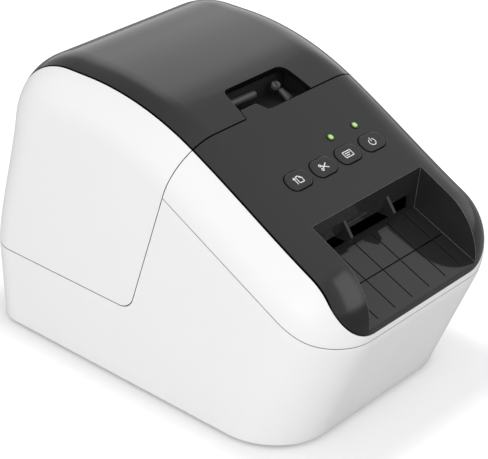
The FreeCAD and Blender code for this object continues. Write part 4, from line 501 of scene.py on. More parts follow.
def panel_finish(name, colour, edge, seam):
    """Dark panel: satin slope, a smoother tray that mirrors its walls and is painted lighter to stand in for
    light, painted shade in its grooves, and a painted highlight on the edges round the tray.
    """
    material = moulded(name, colour, edge=edge, seam=seam, lines=panel_shade_lines, **PANEL_SATIN)
    tree = material.node_tree
    shader = tree.nodes["Principled BSDF"]
    across = along(tree, (1, 0, 0))
    half = tray_width() / 2
    height = along(tree, PANEL_NORMAL)
    above = combine(tree, "GREATER_THAN", height, panel_level() - TRAY_START)
    slope = combine(tree, "MAXIMUM", beyond(tree, across, 0.0, half), above)
    for socket, smooth in (("Roughness", TRAY_ROUGH), ("Specular IOR Level", TRAY_GLOSS)):
        mix = tree.nodes.new("ShaderNodeMix")
        tree.links.new(slope, mix.inputs["Factor"])
        mix.inputs["A"].default_value = smooth
        tree.links.new(shader.inputs[socket].links[0].from_socket, mix.inputs["B"])
        tree.links.new(mix.outputs["Result"], shader.inputs[socket])
    tone = shader.inputs["Base Color"].links[0].from_socket
    # Painted light: the tray gets a lighter copy of the panel colour, and its grooves and seam get painted shade.
    tray = between(tree, panel_shade_lines(tree), shade(colour, SEAM_SHADE_TONE), shade(colour, TRAY_PAINTED_LIGHT_TONE))
    # Painted highlight: a pale colour on the edges round the tray.
    rim = tray_rim_highlight(tree, across, height, half)
    tone = between(tree, rim, between(tree, slope, tray, tone), RIM_HIGHLIGHT_COLOUR)
    tree.links.new(tone, shader.inputs["Base Color"])
    return material


def tray_rim_highlight(tree, across, height, half):
    """1 on the edges where the tray meets the slope, where a pale highlight is painted, 0 elsewhere."""
    corner = within(tree, combine(tree, "ABSOLUTE", across), half, RIM_REACH)
    level = combine(tree, "GREATER_THAN", height, panel_level() - RIM_REACH)
    top = combine(tree, "MULTIPLY", level, within(tree, across, 0.0, half))
    front = combine(tree, "LESS_THAN", along(tree, (0, 1, 0)), opening("exit_slot_middle")[1].y)
    near = combine(tree, "MULTIPLY", combine(tree, "MAXIMUM", corner, top), front)
    return combine(tree, "MULTIPLY", near, edge_lines(tree, RIM_RADIUS))


def panel_shade_lines(tree):
    """0 along the seam and in the grooves of the tray, where shade is painted, 1 elsewhere."""
    floor = max((face for face in NODES["control_panel"].data.polygons if face.normal.z > FACING),
                key=lambda face: face.area)
    level = floor.center.dot(floor.normal)
    height = along(tree, floor.normal)
    flat = beyond(tree, height, level - GROOVE_MIDDLE, GROOVE_HALF)
    raised = beyond(tree, height, level, FLOOR_BAND)
    plain = combine(tree, "SUBTRACT", 1.0, edge_lines(tree, GROOVE_EDGE))
    kept = combine(tree, "MAXIMUM", raised, plain)
    beside = beyond(tree, along(tree, (1, 0, 0)), 0.0, tray_width() / 2 - GROOVE_INSET)
    lip = combine(tree, "LESS_THAN", along(tree, (0, 1, 0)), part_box("control_panel")[0].y + LIP_DEPTH)
    outside = combine(tree, "MAXIMUM", beside, lip)
    open_face = combine(tree, "MAXIMUM", outside, combine(tree, "MINIMUM", flat, kept))
    return combine(tree, "MINIMUM", seam_shade_lines(tree), open_face)


def seam_shade_lines(tree):
    """0, for painted shade, along the seam between the lid and the panel and along their sides, 1 elsewhere and on
    the tongue.
    """
    lean = Vector((0, math.cos(SEAM_LEAN), math.sin(SEAM_LEAN)))
    low, high = opening("lid_window")
    panel = NODES["control_panel"].data.vertices
    edges = [vertex.co.dot(lean) for vertex in panel if vertex.co.x > high.x]
    beside = beyond(tree, along(tree, lean), max(edges) + SEAM_WIDTH / 4, SEAM_WIDTH / 2)
    across = along(tree, (1, 0, 0))
    tongue = within(tree, across, low.x + TONGUE_MIDDLE, TONGUE_HALF)
    inner = within(tree, across, 0.0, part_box("cover_side_right")[0].x - SEAM_WIDTH)
    return combine(tree, "MINIMUM", inner, combine(tree, "MAXIMUM", beside, tongue))


def lid_shade_lines(tree):
    """0 along the seam and a dark tone on the cut edges of the window, both painted shade, 1 elsewhere."""
    low, high = opening("lid_window")
    half = (high.x - low.x) / 2 + WINDOW_SIDE
    beside = beyond(tree, along(tree, (1, 0, 0)), (low.x + high.x) / 2, half)
    behind = combine(tree, "GREATER_THAN", along(tree, (0, 1, 0)), high.y + WINDOW_BACK)
    outside = combine(tree, "MAXIMUM", beside, behind)
    face = combine(tree, "GREATER_THAN", along(tree, (0, 0, 1), "Normal"), FACES_UP)
    edges = spread(tree, combine(tree, "MAXIMUM", outside, face), WINDOW_EDGE_SHADE, 1.0, 0.0, 1.0)
    return combine(tree, "MINIMUM", seam_shade_lines(tree), edges)


def print_finish(name):
    """White printing ink with a slightly uneven coat."""
    return moulded(name, (0.93, 0.93, 0.93), rough=0.45, grain=3000.0, drift=0.04)


def lamp_finish(name, colour):
    """Lit lens: bright in the middle, dark green at the rim."""
    material, tree, shader = start_material(name)
    glow = tree.nodes.new("ShaderNodeAttribute")
    glow.attribute_name = "glow"
    rim = tuple(value * share for value, share in zip(colour, LENS_RIM))
    tree.links.new(between(tree, glow.outputs["Fac"], rim, colour), shader.inputs["Emission Color"])
    shader.inputs["Emission Strength"].default_value = LENS_GLOW
    shader.inputs["Base Color"].default_value = (*rim, 1.0)
    shader.inputs["Roughness"].default_value = 0.15
    relief(tree, shader, cloud(tree, surface_place(tree), 900.0), 0.002 * MM)
    return material


def heating_finish(name):
    """Glazed strip with the dark line of heating dots along its middle."""
    material, tree, shader = start_material(name)
    low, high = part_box("heating_strip")
    apart = combine(tree, "SUBTRACT", along(tree, (0, 1, 0)), (low.y + high.y) / 2)
    line = spread(tree, combine(tree, "ABSOLUTE", apart), *HEATING_LINE)
    tone = between(tree, line, (0.72, 0.70, 0.64), (0.12, 0.09, 0.07))
    tree.links.new(tone, shader.inputs["Base Color"])
    shader.inputs["Roughness"].default_value = 0.18
    relief(tree, shader, cloud(tree, surface_place(tree), 500.0), 0.004 * MM)
    return material


# Measures read from the frame.
def tray_width():
    """Width of the label tray: its opening's box plus the room at each side."""
    low, high = opening("label_tray_back")
    return high.x - low.x + TRAY_ROOM


def panel_level():
    """Height of the panel slope along its normal, just below the button faces."""
    points = [vertex.co.dot(PANEL_NORMAL) for vertex in NODES["feed_button"].data.vertices]
    return max(points) - BUTTON_RISE


def opening(name):
    """Corners of a stated opening."""
    for item in frame["record"]["physics"]["openings"]:
        if item["name"] == name:
            return [Vector(corner) for corner in item["box_m"]]
    raise RuntimeError("the record has no opening " + name)


def seat_at(place, normal, up):
    """Frame at a place: across, up and out."""
    seat = Matrix((up.cross(normal), up, normal)).transposed().to_4x4()
    seat.translation = place
    return seat


def face_seat(node, normal, up):
    """Frame on the middle of the outermost face of a node along a direction."""
    points = [vertex.co for vertex in NODES[node].data.vertices]
    top = max(point.dot(normal) for point in points)
    face = [point for point in points if top - point.dot(normal) < FLAT]
    middle = normal * top
    for axis in (up.cross(normal), up):
        reach = [point.dot(axis) for point in face]
        middle += axis * (min(reach) + max(reach)) / 2
    return seat_at(middle, normal, up)


# Mesh building blocks.
def mesh_object(name, bm, material):
    """Object of a mesh in the scene, with its material."""
    mesh = bpy.data.meshes.new(name)
    bm.to_mesh(mesh)
    bm.free()
    mesh.materials.append(material)
    piece = bpy.data.objects.new(name, mesh)
    bpy.context.scene.collection.objects.link(piece)
    return piece


def finish_piece(name, bm, material, body, smooth=True, angle=35.0):
    """Object of a finished mesh, riding on its body."""
    bmesh.ops.recalc_face_normals(bm, faces=bm.faces)
    piece = mesh_object(name, bm, material)
    if smooth:
        piece.data.shade_smooth()
        piece.data.set_sharp_from_angle(angle=math.radians(angle))
    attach(piece, body)
    return piece


def paint(material, *nodes):
    """Give frame nodes their finish."""
    for node in nodes:
        NODES[node].material_slots[0].material = material


def bar(bm, start, end, width, rise, seat):
    """Flat straight line of print on a seat."""
    start = Vector(start)
    reach = Vector(end) - start
    turn = Matrix.Rotation(math.atan2(reach.y, reach.x), 4, "Z")
    middle = Matrix.Translation((start + reach / 2).to_3d() + Vector((0, 0, rise / 2)))
    size = Matrix.Diagonal((reach.length + width, width, rise, 1))
    bmesh.ops.create_cube(bm, size=1.0, matrix=seat @ middle @ turn @ size)


def ring(bm, centre, radius, width, rise, seat, gap=0.0, steps=40):
    """Flat ring of print, open at its top by a gap in degrees."""
    half = math.radians(gap) / 2
    start = math.pi / 2 + half
    sweep = 2 * math.pi - 2 * half
    corners = []
    for reach, height in ((-0.5, 0), (0.5, 0), (0.5, 1), (-0.5, 1)):
        corners.append(bm.verts.new((radius + reach * width, 0, height * rise)))
    face = bm.faces.new(corners)
    place = seat @ Matrix.Translation((*centre, 0)) @ Matrix.Rotation(start, 4, "Z")
    bmesh.ops.transform(bm, matrix=place, verts=corners)
    geometry = list(face.verts) + list(face.edges) + [face]
    upright = seat.to_3x3().col[2]
    bmesh.ops.spin(bm, geom=geometry, cent=place.translation, axis=upright, dvec=(0, 0, 0), angle=sweep,
                   steps=steps, use_merge=gap == 0)


def block(bm, near, far):
    """Box between two corners."""
    size = Matrix.Diagonal((*(far - near), 1.0))
    bmesh.ops.create_cube(bm, size=1.0, matrix=Matrix.Translation((near + far) / 2) @ size)


def aimed(place, direction):
    """Frame at a place with its upright along a direction."""
    seat = direction.to_track_quat("Z", "Y").to_matrix().to_4x4()
    seat.translation = place
    return seat


def turned(bm, profile, seat, steps=48):
    """Round shape: a profile of radius and height turned round the seat's upright."""
    points = [bm.verts.new(seat @ Vector((radius, 0, height))) for radius, height in profile]
    edges = [bm.edges.new(pair) for pair in zip(points, points[1:])]
    upright = seat.to_3x3().col[2]
    bmesh.ops.spin(bm, geom=points + edges, cent=seat.translation, axis=upright, dvec=(0, 0, 0),
                   angle=2 * math.pi, steps=steps, use_merge=True)
    bmesh.ops.remove_doubles(bm, verts=bm.verts, dist=SAME)


def soften(bm, offset):
    """Round all edges of a mesh."""
    bmesh.ops.bevel(bm, geom=list(bm.edges), offset=offset, segments=2, profile=0.5, affect="EDGES",
                    material=-1)


class PRINTER_OT_shells(bpy.types.Operator):
    """Finish the white shells, the dark lid and the dark panel"""

    bl_idname = "printer.shells"
    bl_label = "Shells"

    def execute(self, context):
        case = context.scene.printer_case
        white = moulded("white_shell", case.white, rough=0.3, grain=1400.0, height=0.0002 * MM,
                        edge=case.edge, drift=0.006, seam=case.seam)
        paint(white, "lower_case", "front_shell", "cover_side_left", "cover_side_right")
        lid = moulded("dark_lid", case.dark, rough=0.14, grain=1900.0, height=0.002 * MM, edge=case.edge,
                      drift=0.05, seam=case.seam, lines=lid_shade_lines)
        paint(lid, "roll_cover_lid")
        panel = panel_finish("dark_panel", shade(case.dark, PANEL_TONE), case.edge, case.seam)
        paint(panel, "control_panel")
        return {"FINISHED"}


class PRINTER_OT_buttons(bpy.types.Operator):
    """Finish the buttons and print their marks"""

    bl_idname = "printer.buttons"
    bl_label = "Buttons"

    def execute(self, context):
        case = context.scene.printer_case
        marks = context.scene.printer_marks
        cap = moulded("button_cap", shade(case.dark, PANEL_TONE), edge=3 * case.edge, **PANEL_SATIN)
        ink = print_finish("button_print")
        for key in KEYS:
            node = key + "_button"
            paint(cap, node)
            bm = bmesh.new()
            draw = getattr(self, key)
            draw(bm, marks.line, marks.rise, face_seat(node, PANEL_NORMAL, PANEL_UP))
            finish_piece(key + "_mark", bm, ink, key + "_key", smooth=False)
        return {"FINISHED"}

    @staticmethod
    def chain(bm, points, line, rise, seat, closed=False):
        """Joined straight lines, in millimetres."""
        points = [Vector(point) * MM for point in points]
        ends = points[1:] + points[:1] if closed else points[1:]
        for start, end in zip(points, ends):
            bar(bm, start, end, line, rise, seat)

    def feed(self, bm, line, rise, seat):
        """Arrow beside a page with a folded corner."""
        self.chain(bm, ARROW_STEM, line, rise, seat)
        self.chain(bm, ARROW_HEAD, line, rise, seat)
        self.chain(bm, PAGE, line, rise, seat, closed=True)
        self.chain(bm, PAGE_FOLD, line * FOLD_LINE, rise, seat)

    def cut(self, bm, line, rise, seat):
        """Open scissors."""
        for side in (-1, 1):
            self.chain(bm, [(x, y * side) for x, y in CUT_BLADE], line * CUT_LINE, rise, seat)
            grip = (CUT_GRIP[0] * MM, CUT_GRIP[1] * side * MM)
            ring(bm, grip, GRIP_RADIUS, line, rise, seat)

    def function(self, bm, line, rise, seat):
        """Plain label with two lines."""
        self.chain(bm, LABEL, line, rise, seat, closed=True)
        for points in LABEL_LINES:
            self.chain(bm, points, line, rise, seat)

    def power(self, bm, line, rise, seat):
        """Broken ring with an upright line."""
        ring(bm, POWER_MIDDLE, POWER_RADIUS, line, rise, seat, gap=POWER_GAP)
        self.chain(bm, POWER_LINE, line, rise, seat)


class PRINTER_OT_lights(bpy.types.Operator):
    """Make the two status lights as domed lenses"""

    bl_idname = "printer.lights"
    bl_label = "Status lights"
    steps: IntProperty(name="Steps", description="Steps round a lens", min=12, max=96, default=32)

    def execute(self, context):
        finish = lamp_finish("status_lamp", context.scene.printer_case.lamp)
        bezels = bmesh.new()
        bm = bmesh.new()
        glow = bm.verts.layers.float.new("glow")
        for vertices in self.pipes():
            top = max(vertex.dot(PANEL_NORMAL) for vertex in vertices)
            bottom = min(vertex.dot(PANEL_NORMAL) for vertex in vertices)
            middle = sum(vertices, Vector()) / len(vertices)
            radius = max(abs(vertex.x - middle.x) for vertex in vertices)
            face = middle + PANEL_NORMAL * (top - middle.dot(PANEL_NORMAL))
            seat = seat_at(face, PANEL_NORMAL, PANEL_UP)
            ring(bezels, (0, 0), radius + BEZEL_WIDTH / 2, BEZEL_WIDTH, BEZEL_RISE, seat)
            before = set(bm.verts)
            deep = bottom - top
            dome = [(radius * share, height * MM) for share, height in LENS_DOME]
            turned(bm, [(0, deep), (radius, deep), (radius, -LENS_EDGE), *dome], seat, self.steps)
            for vertex in set(bm.verts) - before:
                local = seat.inverted() @ vertex.co
                away = Vector((local.x, local.y)).length / radius
                vertex[glow] = 1.0 if away < LIT_SHARE and local.z > 0 else 0.0
        green = moulded("bezel_plastic", (0.01, 0.045, 0.002), rough=0.4, grain=1900.0, gloss=0.2)
        finish_piece("light_bezels", bezels, green, "base", smooth=False)
        piece = finish_piece("status_lenses", bm, finish, "base")
        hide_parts("light_pipes")
        paint(moulded("lamp_body", (0.5, 0.6, 0.45), rough=0.3, grain=900.0), "status_lamps")
        return {"FINISHED"}

    @staticmethod
    def pipes():
        """Points of each pipe, told apart by the side on which they lie."""
        points = [vertex.co.copy() for vertex in NODES["light_pipes"].data.vertices]
        middle = (min(point.x for point in points) + max(point.x for point in points)) / 2
        return [[point for point in points if (point.x > middle) == right] for right in (False, True)]


class PRINTER_OT_window(bpy.types.Operator):
    """Make the well under the lid window, with its bar, knob and lever"""

    bl_idname = "printer.window"
    bl_label = "Lid window"

    def execute(self, context):
        window = context.scene.printer_window
        low, high = opening("lid_window")
        dark = moulded("well_plastic", (0.012, 0.012, 0.012), rough=0.5, grain=1300.0, height=0.01 * MM,
                       edge=0.2 * MM, drift=0.1, gloss=0.3)
        grey = moulded("fitting_plastic", (0.06, 0.06, 0.06), rough=0.35, grain=1300.0, height=0.006 * MM,
                       edge=0.2 * MM, drift=0.08)
        self.well(low, high, window.wall, dark)
        self.bar(low, high, window.bar_radius, grey)
        self.knob(low, high, window.knob_radius, grey, dark)
        self.lever(low, high, window.lever_width, grey)
        return {"FINISHED"}

    @staticmethod
    def well(low, high, wall, material):
        """Pan under the window, open at its top and its front and cut off under the lid."""
        far = high + WELL_PAST_HIGH
        bm = bmesh.new()
        block(bm, low - WELL_PAST_LOW, far)
        rim = Vector((0, far.y, low.z + WELL_RIM))
        everything = list(bm.verts) + list(bm.edges) + list(bm.faces)
        bmesh.ops.bisect_plane(bm, geom=everything, plane_co=rim, plane_no=WELL_SLOPE, clear_outer=True)
        front = [face for face in bm.faces if face.normal.y < -FACING]
        bmesh.ops.delete(bm, geom=front, context="FACES")
        bmesh.ops.solidify(bm, geom=list(bm.faces), thickness=wall)
        finish_piece("window_well", bm, material, "cover", smooth=False)

    @staticmethod
    def bar(low, high, radius, material):
        """Round bar with a domed end, across the left half of the well."""
        corner = Vector((low.x, high.y, low.z))
        start = corner + BAR_START
        end = corner + BAR_END
        length = (end - start).length
        dome = [(radius * math.cos(turn), length - radius + radius * math.sin(turn))
                for turn in (0, math.pi / 6, math.pi / 3)]
        bm = bmesh.new()
        turned(bm, [(0, 0), (radius, 0), *dome, (0, length)], aimed(start, end - start))
        finish_piece("window_bar", bm, material, "cover")

    @staticmethod
    def knob(low, high, radius, material, dark):
        """Round head on a dark post, with a dark slit."""
        seat = aimed(Vector((high.x, high.y, low.z)) + KNOB_FOOT, KNOB_LEAN)
        head, post = ([(radius * across, KNOB_TOP * up) for across, up in profile]
                      for profile in (KNOB_PROFILE, POST_PROFILE))
        bm = bmesh.new()
        turned(bm, head, seat)
        finish_piece("window_knob", bm, material, "cover")
        bm = bmesh.new()
        turned(bm, post, seat)
        half = radius * SLIT_HALF
        top = seat @ Matrix.Translation((0, 0, KNOB_TOP))
        bar(bm, (0, -half), (0, half), radius * SLIT_WIDTH, SLIT_RISE, top)
        finish_piece("knob_post", bm, dark, "cover", smooth=False)

    @staticmethod
    def lever(low, high, width, material):
        """Slanted lever that widens toward the panel."""
        foot = Vector((high.x, low.y, low.z)) + LEVER_FOOT
        head = Vector((high.x, high.y, low.z)) + LEVER_HEAD
        length = (head - foot).length
        flat = Matrix.Diagonal((1.0, LEVER_FLATNESS, 1.0, 1.0)) @ Matrix.Rotation(math.pi / 4, 4, "Z")
        place = aimed(foot, head - foot) @ Matrix.Translation((0, 0, length / 2)) @ flat
        bm = bmesh.new()
        bmesh.ops.create_cone(bm, cap_ends=True, segments=4, radius1=width, radius2=width * LEVER_TAPER,
                              depth=length, matrix=place)
        soften(bm, LEVER_ROUNDING)
        finish_piece("window_lever", bm, material, "cover")


class PRINTER_OT_exit(bpy.types.Operator):
    """Make the ledge above the exit slot and, behind it on the cutter's guides, a near-black sheet of painted
    shade
    """

    bl_idname = "printer.exit"
    bl_label = "Exit slot"

    def execute(self, context):
        low, high = opening("exit_slot_middle")
        corner = Vector((low.x, low.y, high.z))
        bm = bmesh.new()
        block(bm, corner + LEDGE_NEAR, corner + LEDGE_FAR)
        soften(bm, LEDGE_ROUNDING)
        plastic = NODES["control_panel"].material_slots[0].material
        finish_piece("exit_ledge", bm, plastic, "base")
        self.shade_sheet(low, high)
        return {"FINISHED"}

    @staticmethod
    def shade_sheet(low, high):
        """Two near-black strips of painted shade on the cutter's guides that leave a narrow gap for the label."""
        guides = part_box("cutter_guides")
        reach = guides[1].x - SHADE_SHEET_INSET
        front = guides[0].y - SHADE_SHEET_AHEAD
        lower = (low.z - SHADE_SHEET_DROP, high.z - GAP_LOW)
        upper = (high.z + GAP_HIGH, high.z + LEDGE_NEAR.z)
        bm = bmesh.new()
        for bottom, top in (lower, upper):
            block(bm, Vector((-reach, front, bottom)), Vector((reach, front + SHADE_SHEET_THICKNESS, top)))
        # Painted shade: nearly black and without gloss, so that the inside of the slot reads as dark.
        matt = moulded("shade_sheet_black", (0.0006, 0.0006, 0.0006), rough=0.85, grain=1500.0, height=0.01 * MM,
                       drift=0.1, gloss=0.0)
        finish_piece("slot_shade_sheet", bm, matt, "base", smooth=False)


class PRINTER_OT_mechanism(bpy.types.Operator):
    """Finish the chassis, the drive, the print head and the cutter"""

    bl_idname = "printer.mechanism"
    bl_label = "Mechanism"

    def execute(self, context):
        sheet = brushed("zinc_sheet", (0.56, 0.57, 0.56), rough=0.36, stretch=(1, 0.08, 1), edge=0.2 * MM)
        steel = brushed("bright_steel", (0.6, 0.6, 0.6), rough=0.22, stretch=(0.05, 1, 1))
        blade = brushed("blade_steel", (0.58, 0.59, 0.6), rough=0.2, stretch=(1, 1, 0.06), edge=0.1 * MM)
        motor = brushed("motor_can", (0.42, 0.42, 0.43), rough=0.3, stretch=(0.06, 1, 1), edge=0.4 * MM)
        brass = brushed("cut_brass", (0.62, 0.45, 0.17), rough=0.26, stretch=(0.1, 1, 1))
        sink = brushed("sink_aluminium", (0.66, 0.66, 0.67), rough=0.34, stretch=(0.06, 1, 1), edge=0.2 * MM)
        acetal = moulded("gear_acetal", (0.68, 0.66, 0.6), rough=0.38, grain=1200.0, edge=0.1 * MM)
        black = moulded("guide_plastic", (0.018, 0.018, 0.019), rough=0.4, grain=1300.0, height=0.01 * MM,
                        edge=0.2 * MM, drift=0.1)
        paint(sheet, "chassis", "head_bracket", "spring_bridge", "cutter_bracket")
        paint(steel, "platen_shaft", "idler_stud", "head_pivot", "hinge_pins")
        paint(steel, "chassis_screws", "board_screws")
        paint(blade, "fixed_blade", "moving_blade")
        paint(motor, "feed_motor", "cutter_motor")
        paint(brass, "motor_pinion", "cutter_pinion")
        paint(acetal, "platen_gear", "idler_gear", "platen_bushes")
        paint(black, "label_guide", "blade_carrier", "cutter_guides")
        paint(sink, "heat_sink")
        paint(heating_finish("glazed_strip"), "heating_strip")
        paint(rubber("platen_rubber", (0.03, 0.03, 0.03)), "platen_sleeve")
        self.springs(steel)
        return {"FINISHED"}

    @staticmethod
    def springs(material):
        """Two coil springs between the head and its bridge."""
        low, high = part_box("head_springs")
        radius = (high.y - low.y) / 2
        steps = SPRING_TURNS * TURN_STEPS
        climb = (high.z - low.z - 2 * SPRING_WIRE) / steps
        bm = bmesh.new()
        for x in (low.x + radius, high.x - radius):
            ends = bmesh.ops.create_circle(bm, segments=WIRE_SIDES, radius=SPRING_WIRE)["verts"]
            middle = Vector((x, (low.y + high.y) / 2, low.z + SPRING_WIRE))
            start = Matrix.Translation(middle + Vector((radius - SPRING_WIRE, 0, 0)))
            bmesh.ops.transform(bm, matrix=start @ Matrix.Rotation(math.pi / 2, 4, "X"), verts=ends)
            edges = list({edge for vertex in ends for edge in vertex.link_edges})
            bmesh.ops.spin(bm, geom=ends + edges, cent=middle, axis=(0, 0, 1), dvec=(0, 0, climb),
                           angle=SPRING_TURNS * 2 * math.pi, steps=steps)
        bmesh.ops.holes_fill(bm, edges=bm.edges, sides=WIRE_SIDES)
        piece = finish_piece("coil_springs", bm, material, "base", angle=60.0)
        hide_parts("head_springs")
        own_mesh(piece)


class PRINTER_OT_roll_bay(bpy.types.Operator):
    """Finish the roll bin and the spool holders"""

    bl_idname = "printer.roll_bay"
    bl_label = "Roll bay"

    def execute(self, context):
        black = moulded("bin_plastic", (0.016, 0.016, 0.017), rough=0.42, grain=1200.0, height=0.012 * MM,
                        edge=0.3 * MM, drift=0.1)
        paint(black, "roll_bin", "spool_holder_left", "spool_holder_right")
        return {"FINISHED"}


class PRINTER_OT_electronics(bpy.types.Operator):
    """Finish the circuit boards and what they carry"""

    bl_idname = "printer.electronics"
    bl_label = "Electronics"

    def execute(self, context):
        parts = moulded("component_black", (0.02, 0.02, 0.021), rough=0.45, grain=2200.0, height=0.006 * MM,
                        edge=0.2 * MM, drift=0.12)
        paint(laminate("board_lacquer"), "button_board", "main_board", "power_board")
        paint(parts, "push_switches", "main_board_parts", "power_board_parts", "label_sensor")
        return {"FINISHED"}


class PRINTER_OT_sockets(bpy.types.Operator):
    """Finish the mains inlet and the data socket in the back"""

    bl_idname = "printer.sockets"
    bl_label = "Rear sockets"

    def execute(self, context):
        black = moulded("socket_black", (0.014, 0.014, 0.014), rough=0.35, grain=1500.0, height=0.006 * MM,
                        edge=0.3 * MM, drift=0.1)
        shell = brushed("socket_shell", (0.6, 0.6, 0.6), rough=0.25, stretch=(1, 0.06, 1), edge=0.15 * MM)
        paint(black, "mains_inlet", "socket_tongue")
        paint(shell, "data_socket", "inlet_pins")
        return {"FINISHED"}


class PRINTER_OT_feet(bpy.types.Operator):
    """Finish the rubber feet"""

    bl_idname = "printer.feet"
    bl_label = "Feet"

    def execute(self, context):
        paint(rubber("foot_rubber", (0.025, 0.025, 0.025)), "rubber_feet")
        return {"FINISHED"}


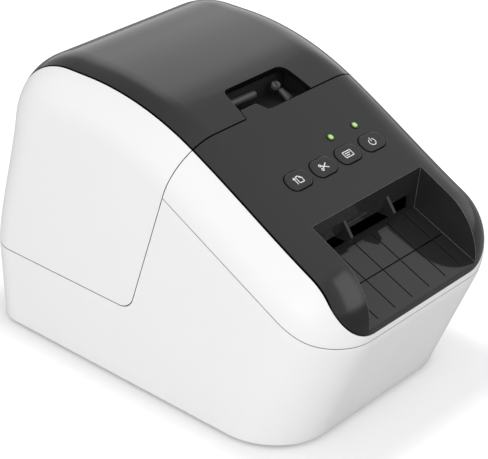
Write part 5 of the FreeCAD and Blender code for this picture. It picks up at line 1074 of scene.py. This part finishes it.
class PRINTER_OT_stage(bpy.types.Operator):
    """Make the floor, the soft light and the camera"""

    bl_idname = "printer.stage"
    bl_label = "Stage"

    def execute(self, context):
        stage = context.scene.printer_stage
        self.world(context.scene, stage.sky)
        self.floor(stage.floor)
        key = self.lamp("key_lamp", KEY_PLACE, KEY_SIZE, stage.key)
        key.visible_glossy = False
        key.data.use_shadow = False
        top = self.lamp("top_lamp", TOP_PLACE, TOP_SIZE, stage.top)
        top.visible_glossy = False
        front = self.lamp("front_box", FRONT_PLACE, FRONT_SIZE, stage.front)
        front.visible_diffuse = False
        self.camera(context.scene)
        return {"FINISHED"}

    @staticmethod
    def seen_directly(tree):
        """1 for what the camera sees, also in a mirror or through glass."""
        path = tree.nodes.new("ShaderNodeLightPath")
        mirrored = combine(tree, "MAXIMUM", path.outputs["Is Glossy Ray"],
                           path.outputs["Is Transmission Ray"])
        return combine(tree, "MAXIMUM", path.outputs["Is Camera Ray"], mirrored)

    @staticmethod
    def mirrored_level(tree):
        """Brightness of the surroundings in a mirror: a large soft box at the back right, paler in front."""
        x = along(tree, (1, 0, 0), "Generated")
        y = along(tree, (0, 1, 0), "Generated")
        front = combine(tree, "MINIMUM", spread(tree, y, *FRONT_FALL), spread(tree, y, *FRONT_RISE))
        room = combine(tree, "ADD", front, spread(tree, y, *ROOM))
        right = spread(tree, x, *BOX_RIGHT, "SMOOTHSTEP")
        box = combine(tree, "MULTIPLY", right, spread(tree, y, *BOX_BACK, "SMOOTHSTEP"))
        return combine(tree, "ADD", room, combine(tree, "MULTIPLY", box, spread(tree, y, *BOX_FADE)))

    def world(self, scene, sky):
        """Even white surroundings, and an even light of their own level."""
        world = bpy.data.worlds.new("studio")
        world.use_nodes = True
        tree = world.node_tree
        light = tree.nodes["Background"]
        light.inputs["Strength"].default_value = sky
        light.inputs["Color"].default_value = (1, 1, 1, 1)
        white = tree.nodes.new("ShaderNodeBackground")
        white.inputs["Color"].default_value = (1, 1, 1, 1)
        camera = tree.nodes.new("ShaderNodeLightPath").outputs["Is Camera Ray"]
        tree.links.new(combine(tree, "MAXIMUM", self.mirrored_level(tree), camera), white.inputs["Strength"])
        mix = tree.nodes.new("ShaderNodeMixShader")
        tree.links.new(self.seen_directly(tree), mix.inputs["Fac"])
        tree.links.new(light.outputs["Background"], mix.inputs[1])
        tree.links.new(white.outputs["Background"], mix.inputs[2])
        tree.links.new(mix.outputs["Shader"], tree.nodes["World Output"].inputs["Surface"])
        scene.world = world
        scene.view_settings.view_transform = "Standard"

    def floor(self, tone):
        """Pale floor that keeps the shadow and adds a painted shadow by a weaker glow next to the case, fades into
        the white around it and is dimmer in a mirror.
        """
        material, tree, shader = start_material("floor_paper")
        path = tree.nodes.new("ShaderNodeLightPath")
        pale = (tone, tone, tone)
        colour = between(tree, path.outputs["Is Glossy Ray"], pale, shade(pale, MIRRORED_FLOOR))
        tree.links.new(colour, shader.inputs["Base Color"])
        shader.inputs["Roughness"].default_value = 1.0
        shader.inputs["Specular IOR Level"].default_value = 0.0
        # Painted shadow: the glow the camera sees is weak next to the case and rises to an even white away from
        # it.
        far = spread(tree, self.beside_case(tree), *FLOOR_LIFT_AND_SHADOW, "SMOOTHSTEP")
        shader.inputs["Emission Color"].default_value = (1, 1, 1, 1)
        lift = combine(tree, "MULTIPLY", path.outputs["Is Camera Ray"], far)
        tree.links.new(lift, shader.inputs["Emission Strength"])
        bm = bmesh.new()
        bmesh.ops.create_circle(bm, cap_ends=True, segments=FLOOR_STEPS, radius=FLOOR_RADIUS)
        floor = mesh_object("floor", bm, material)

    @staticmethod
    def beside_case(tree):
        """Distance on the floor from the outline of the case."""
        value = tree.nodes.new("ShaderNodeTexCoord").outputs["Object"]
        half = Vector((CAD_BOX[1].x, CAD_BOX[1].y, 1.0))
        steps = (("ABSOLUTE", None), ("SUBTRACT", half), ("MAXIMUM", Vector((0, 0, 0))))
        for operation, second in steps:
            step = tree.nodes.new("ShaderNodeVectorMath")
            step.operation = operation
            tree.links.new(value, step.inputs[0])
            if second is not None:
                step.inputs[1].default_value = second
            value = step.outputs["Vector"]
        length = tree.nodes.new("ShaderNodeVectorMath")
        length.operation = "LENGTH"
        tree.links.new(value, length.inputs[0])
        return length.outputs["Value"]

    @staticmethod
    def lamp(name, place, size, power):
        """Soft lamp that faces the printer."""
        data = bpy.data.lights.new(name, "AREA")
        data.shape = "RECTANGLE"
        data.size, data.size_y = size
        data.energy = power
        lamp = bpy.data.objects.new(name, data)
        lamp.location = place
        aim = Vector((0, 0, CAD_BOX[1].z / 2)) - lamp.location
        lamp.rotation_euler = aim.to_track_quat("-Z", "Y").to_euler()
        lamp.visible_camera = False
        bpy.context.scene.collection.objects.link(lamp)
        return lamp

    @staticmethod
    def camera(scene):
        """Long lens, front left and above, where the photograph was taken."""
        data = bpy.data.cameras.new("camera")
        data.sensor_width = CAMERA_SENSOR
        data.lens = CAMERA_LENS
        data.clip_start = CAMERA_NEAR
        camera = bpy.data.objects.new("camera", data)
        camera.location = CAMERA_PLACE
        camera.rotation_euler = (math.pi / 2 - CAMERA_ELEVATION, 0, CAMERA_AZIMUTH)
        scene.collection.objects.link(camera)
        scene.camera = camera


SETTINGS = {
    "printer_case": CaseSettings,
    "printer_marks": MarkSettings,
    "printer_window": WindowSettings,
    "printer_stage": StageSettings,
}
OPERATORS = (
    PRINTER_OT_shells,
    PRINTER_OT_buttons,
    PRINTER_OT_lights,
    PRINTER_OT_window,
    PRINTER_OT_exit,
    PRINTER_OT_mechanism,
    PRINTER_OT_roll_bay,
    PRINTER_OT_electronics,
    PRINTER_OT_sockets,
    PRINTER_OT_feet,
    PRINTER_OT_stage,
)


class PRINTER_PT_sidebar(bpy.types.Panel):
    """Sidebar of the label printer"""

    bl_label = "Label printer"
    bl_idname = "PRINTER_PT_sidebar"
    bl_space_type = "VIEW_3D"
    bl_region_type = "UI"
    bl_category = "Label printer"

    def draw(self, context):
        for settings in SETTINGS:
            group = getattr(context.scene, settings)
            for name in group.__annotations__:
                self.layout.prop(group, name)
        for operator in OPERATORS:
            self.layout.operator(operator.bl_idname)


CLASSES = (*SETTINGS.values(), *OPERATORS, PRINTER_PT_sidebar)


def register():
    for item in CLASSES:
        bpy.utils.register_class(item)
    for name, group in SETTINGS.items():
        setattr(bpy.types.Scene, name, PointerProperty(type=group))


def unregister():
    for name in SETTINGS:
        delattr(bpy.types.Scene, name)
    for item in reversed(CLASSES):
        bpy.utils.unregister_class(item)


def main():
    register()
    for operator in OPERATORS:
        getattr(bpy.ops.printer, operator.bl_idname.split(".")[1])()


if __name__ == "__main__":
    main()
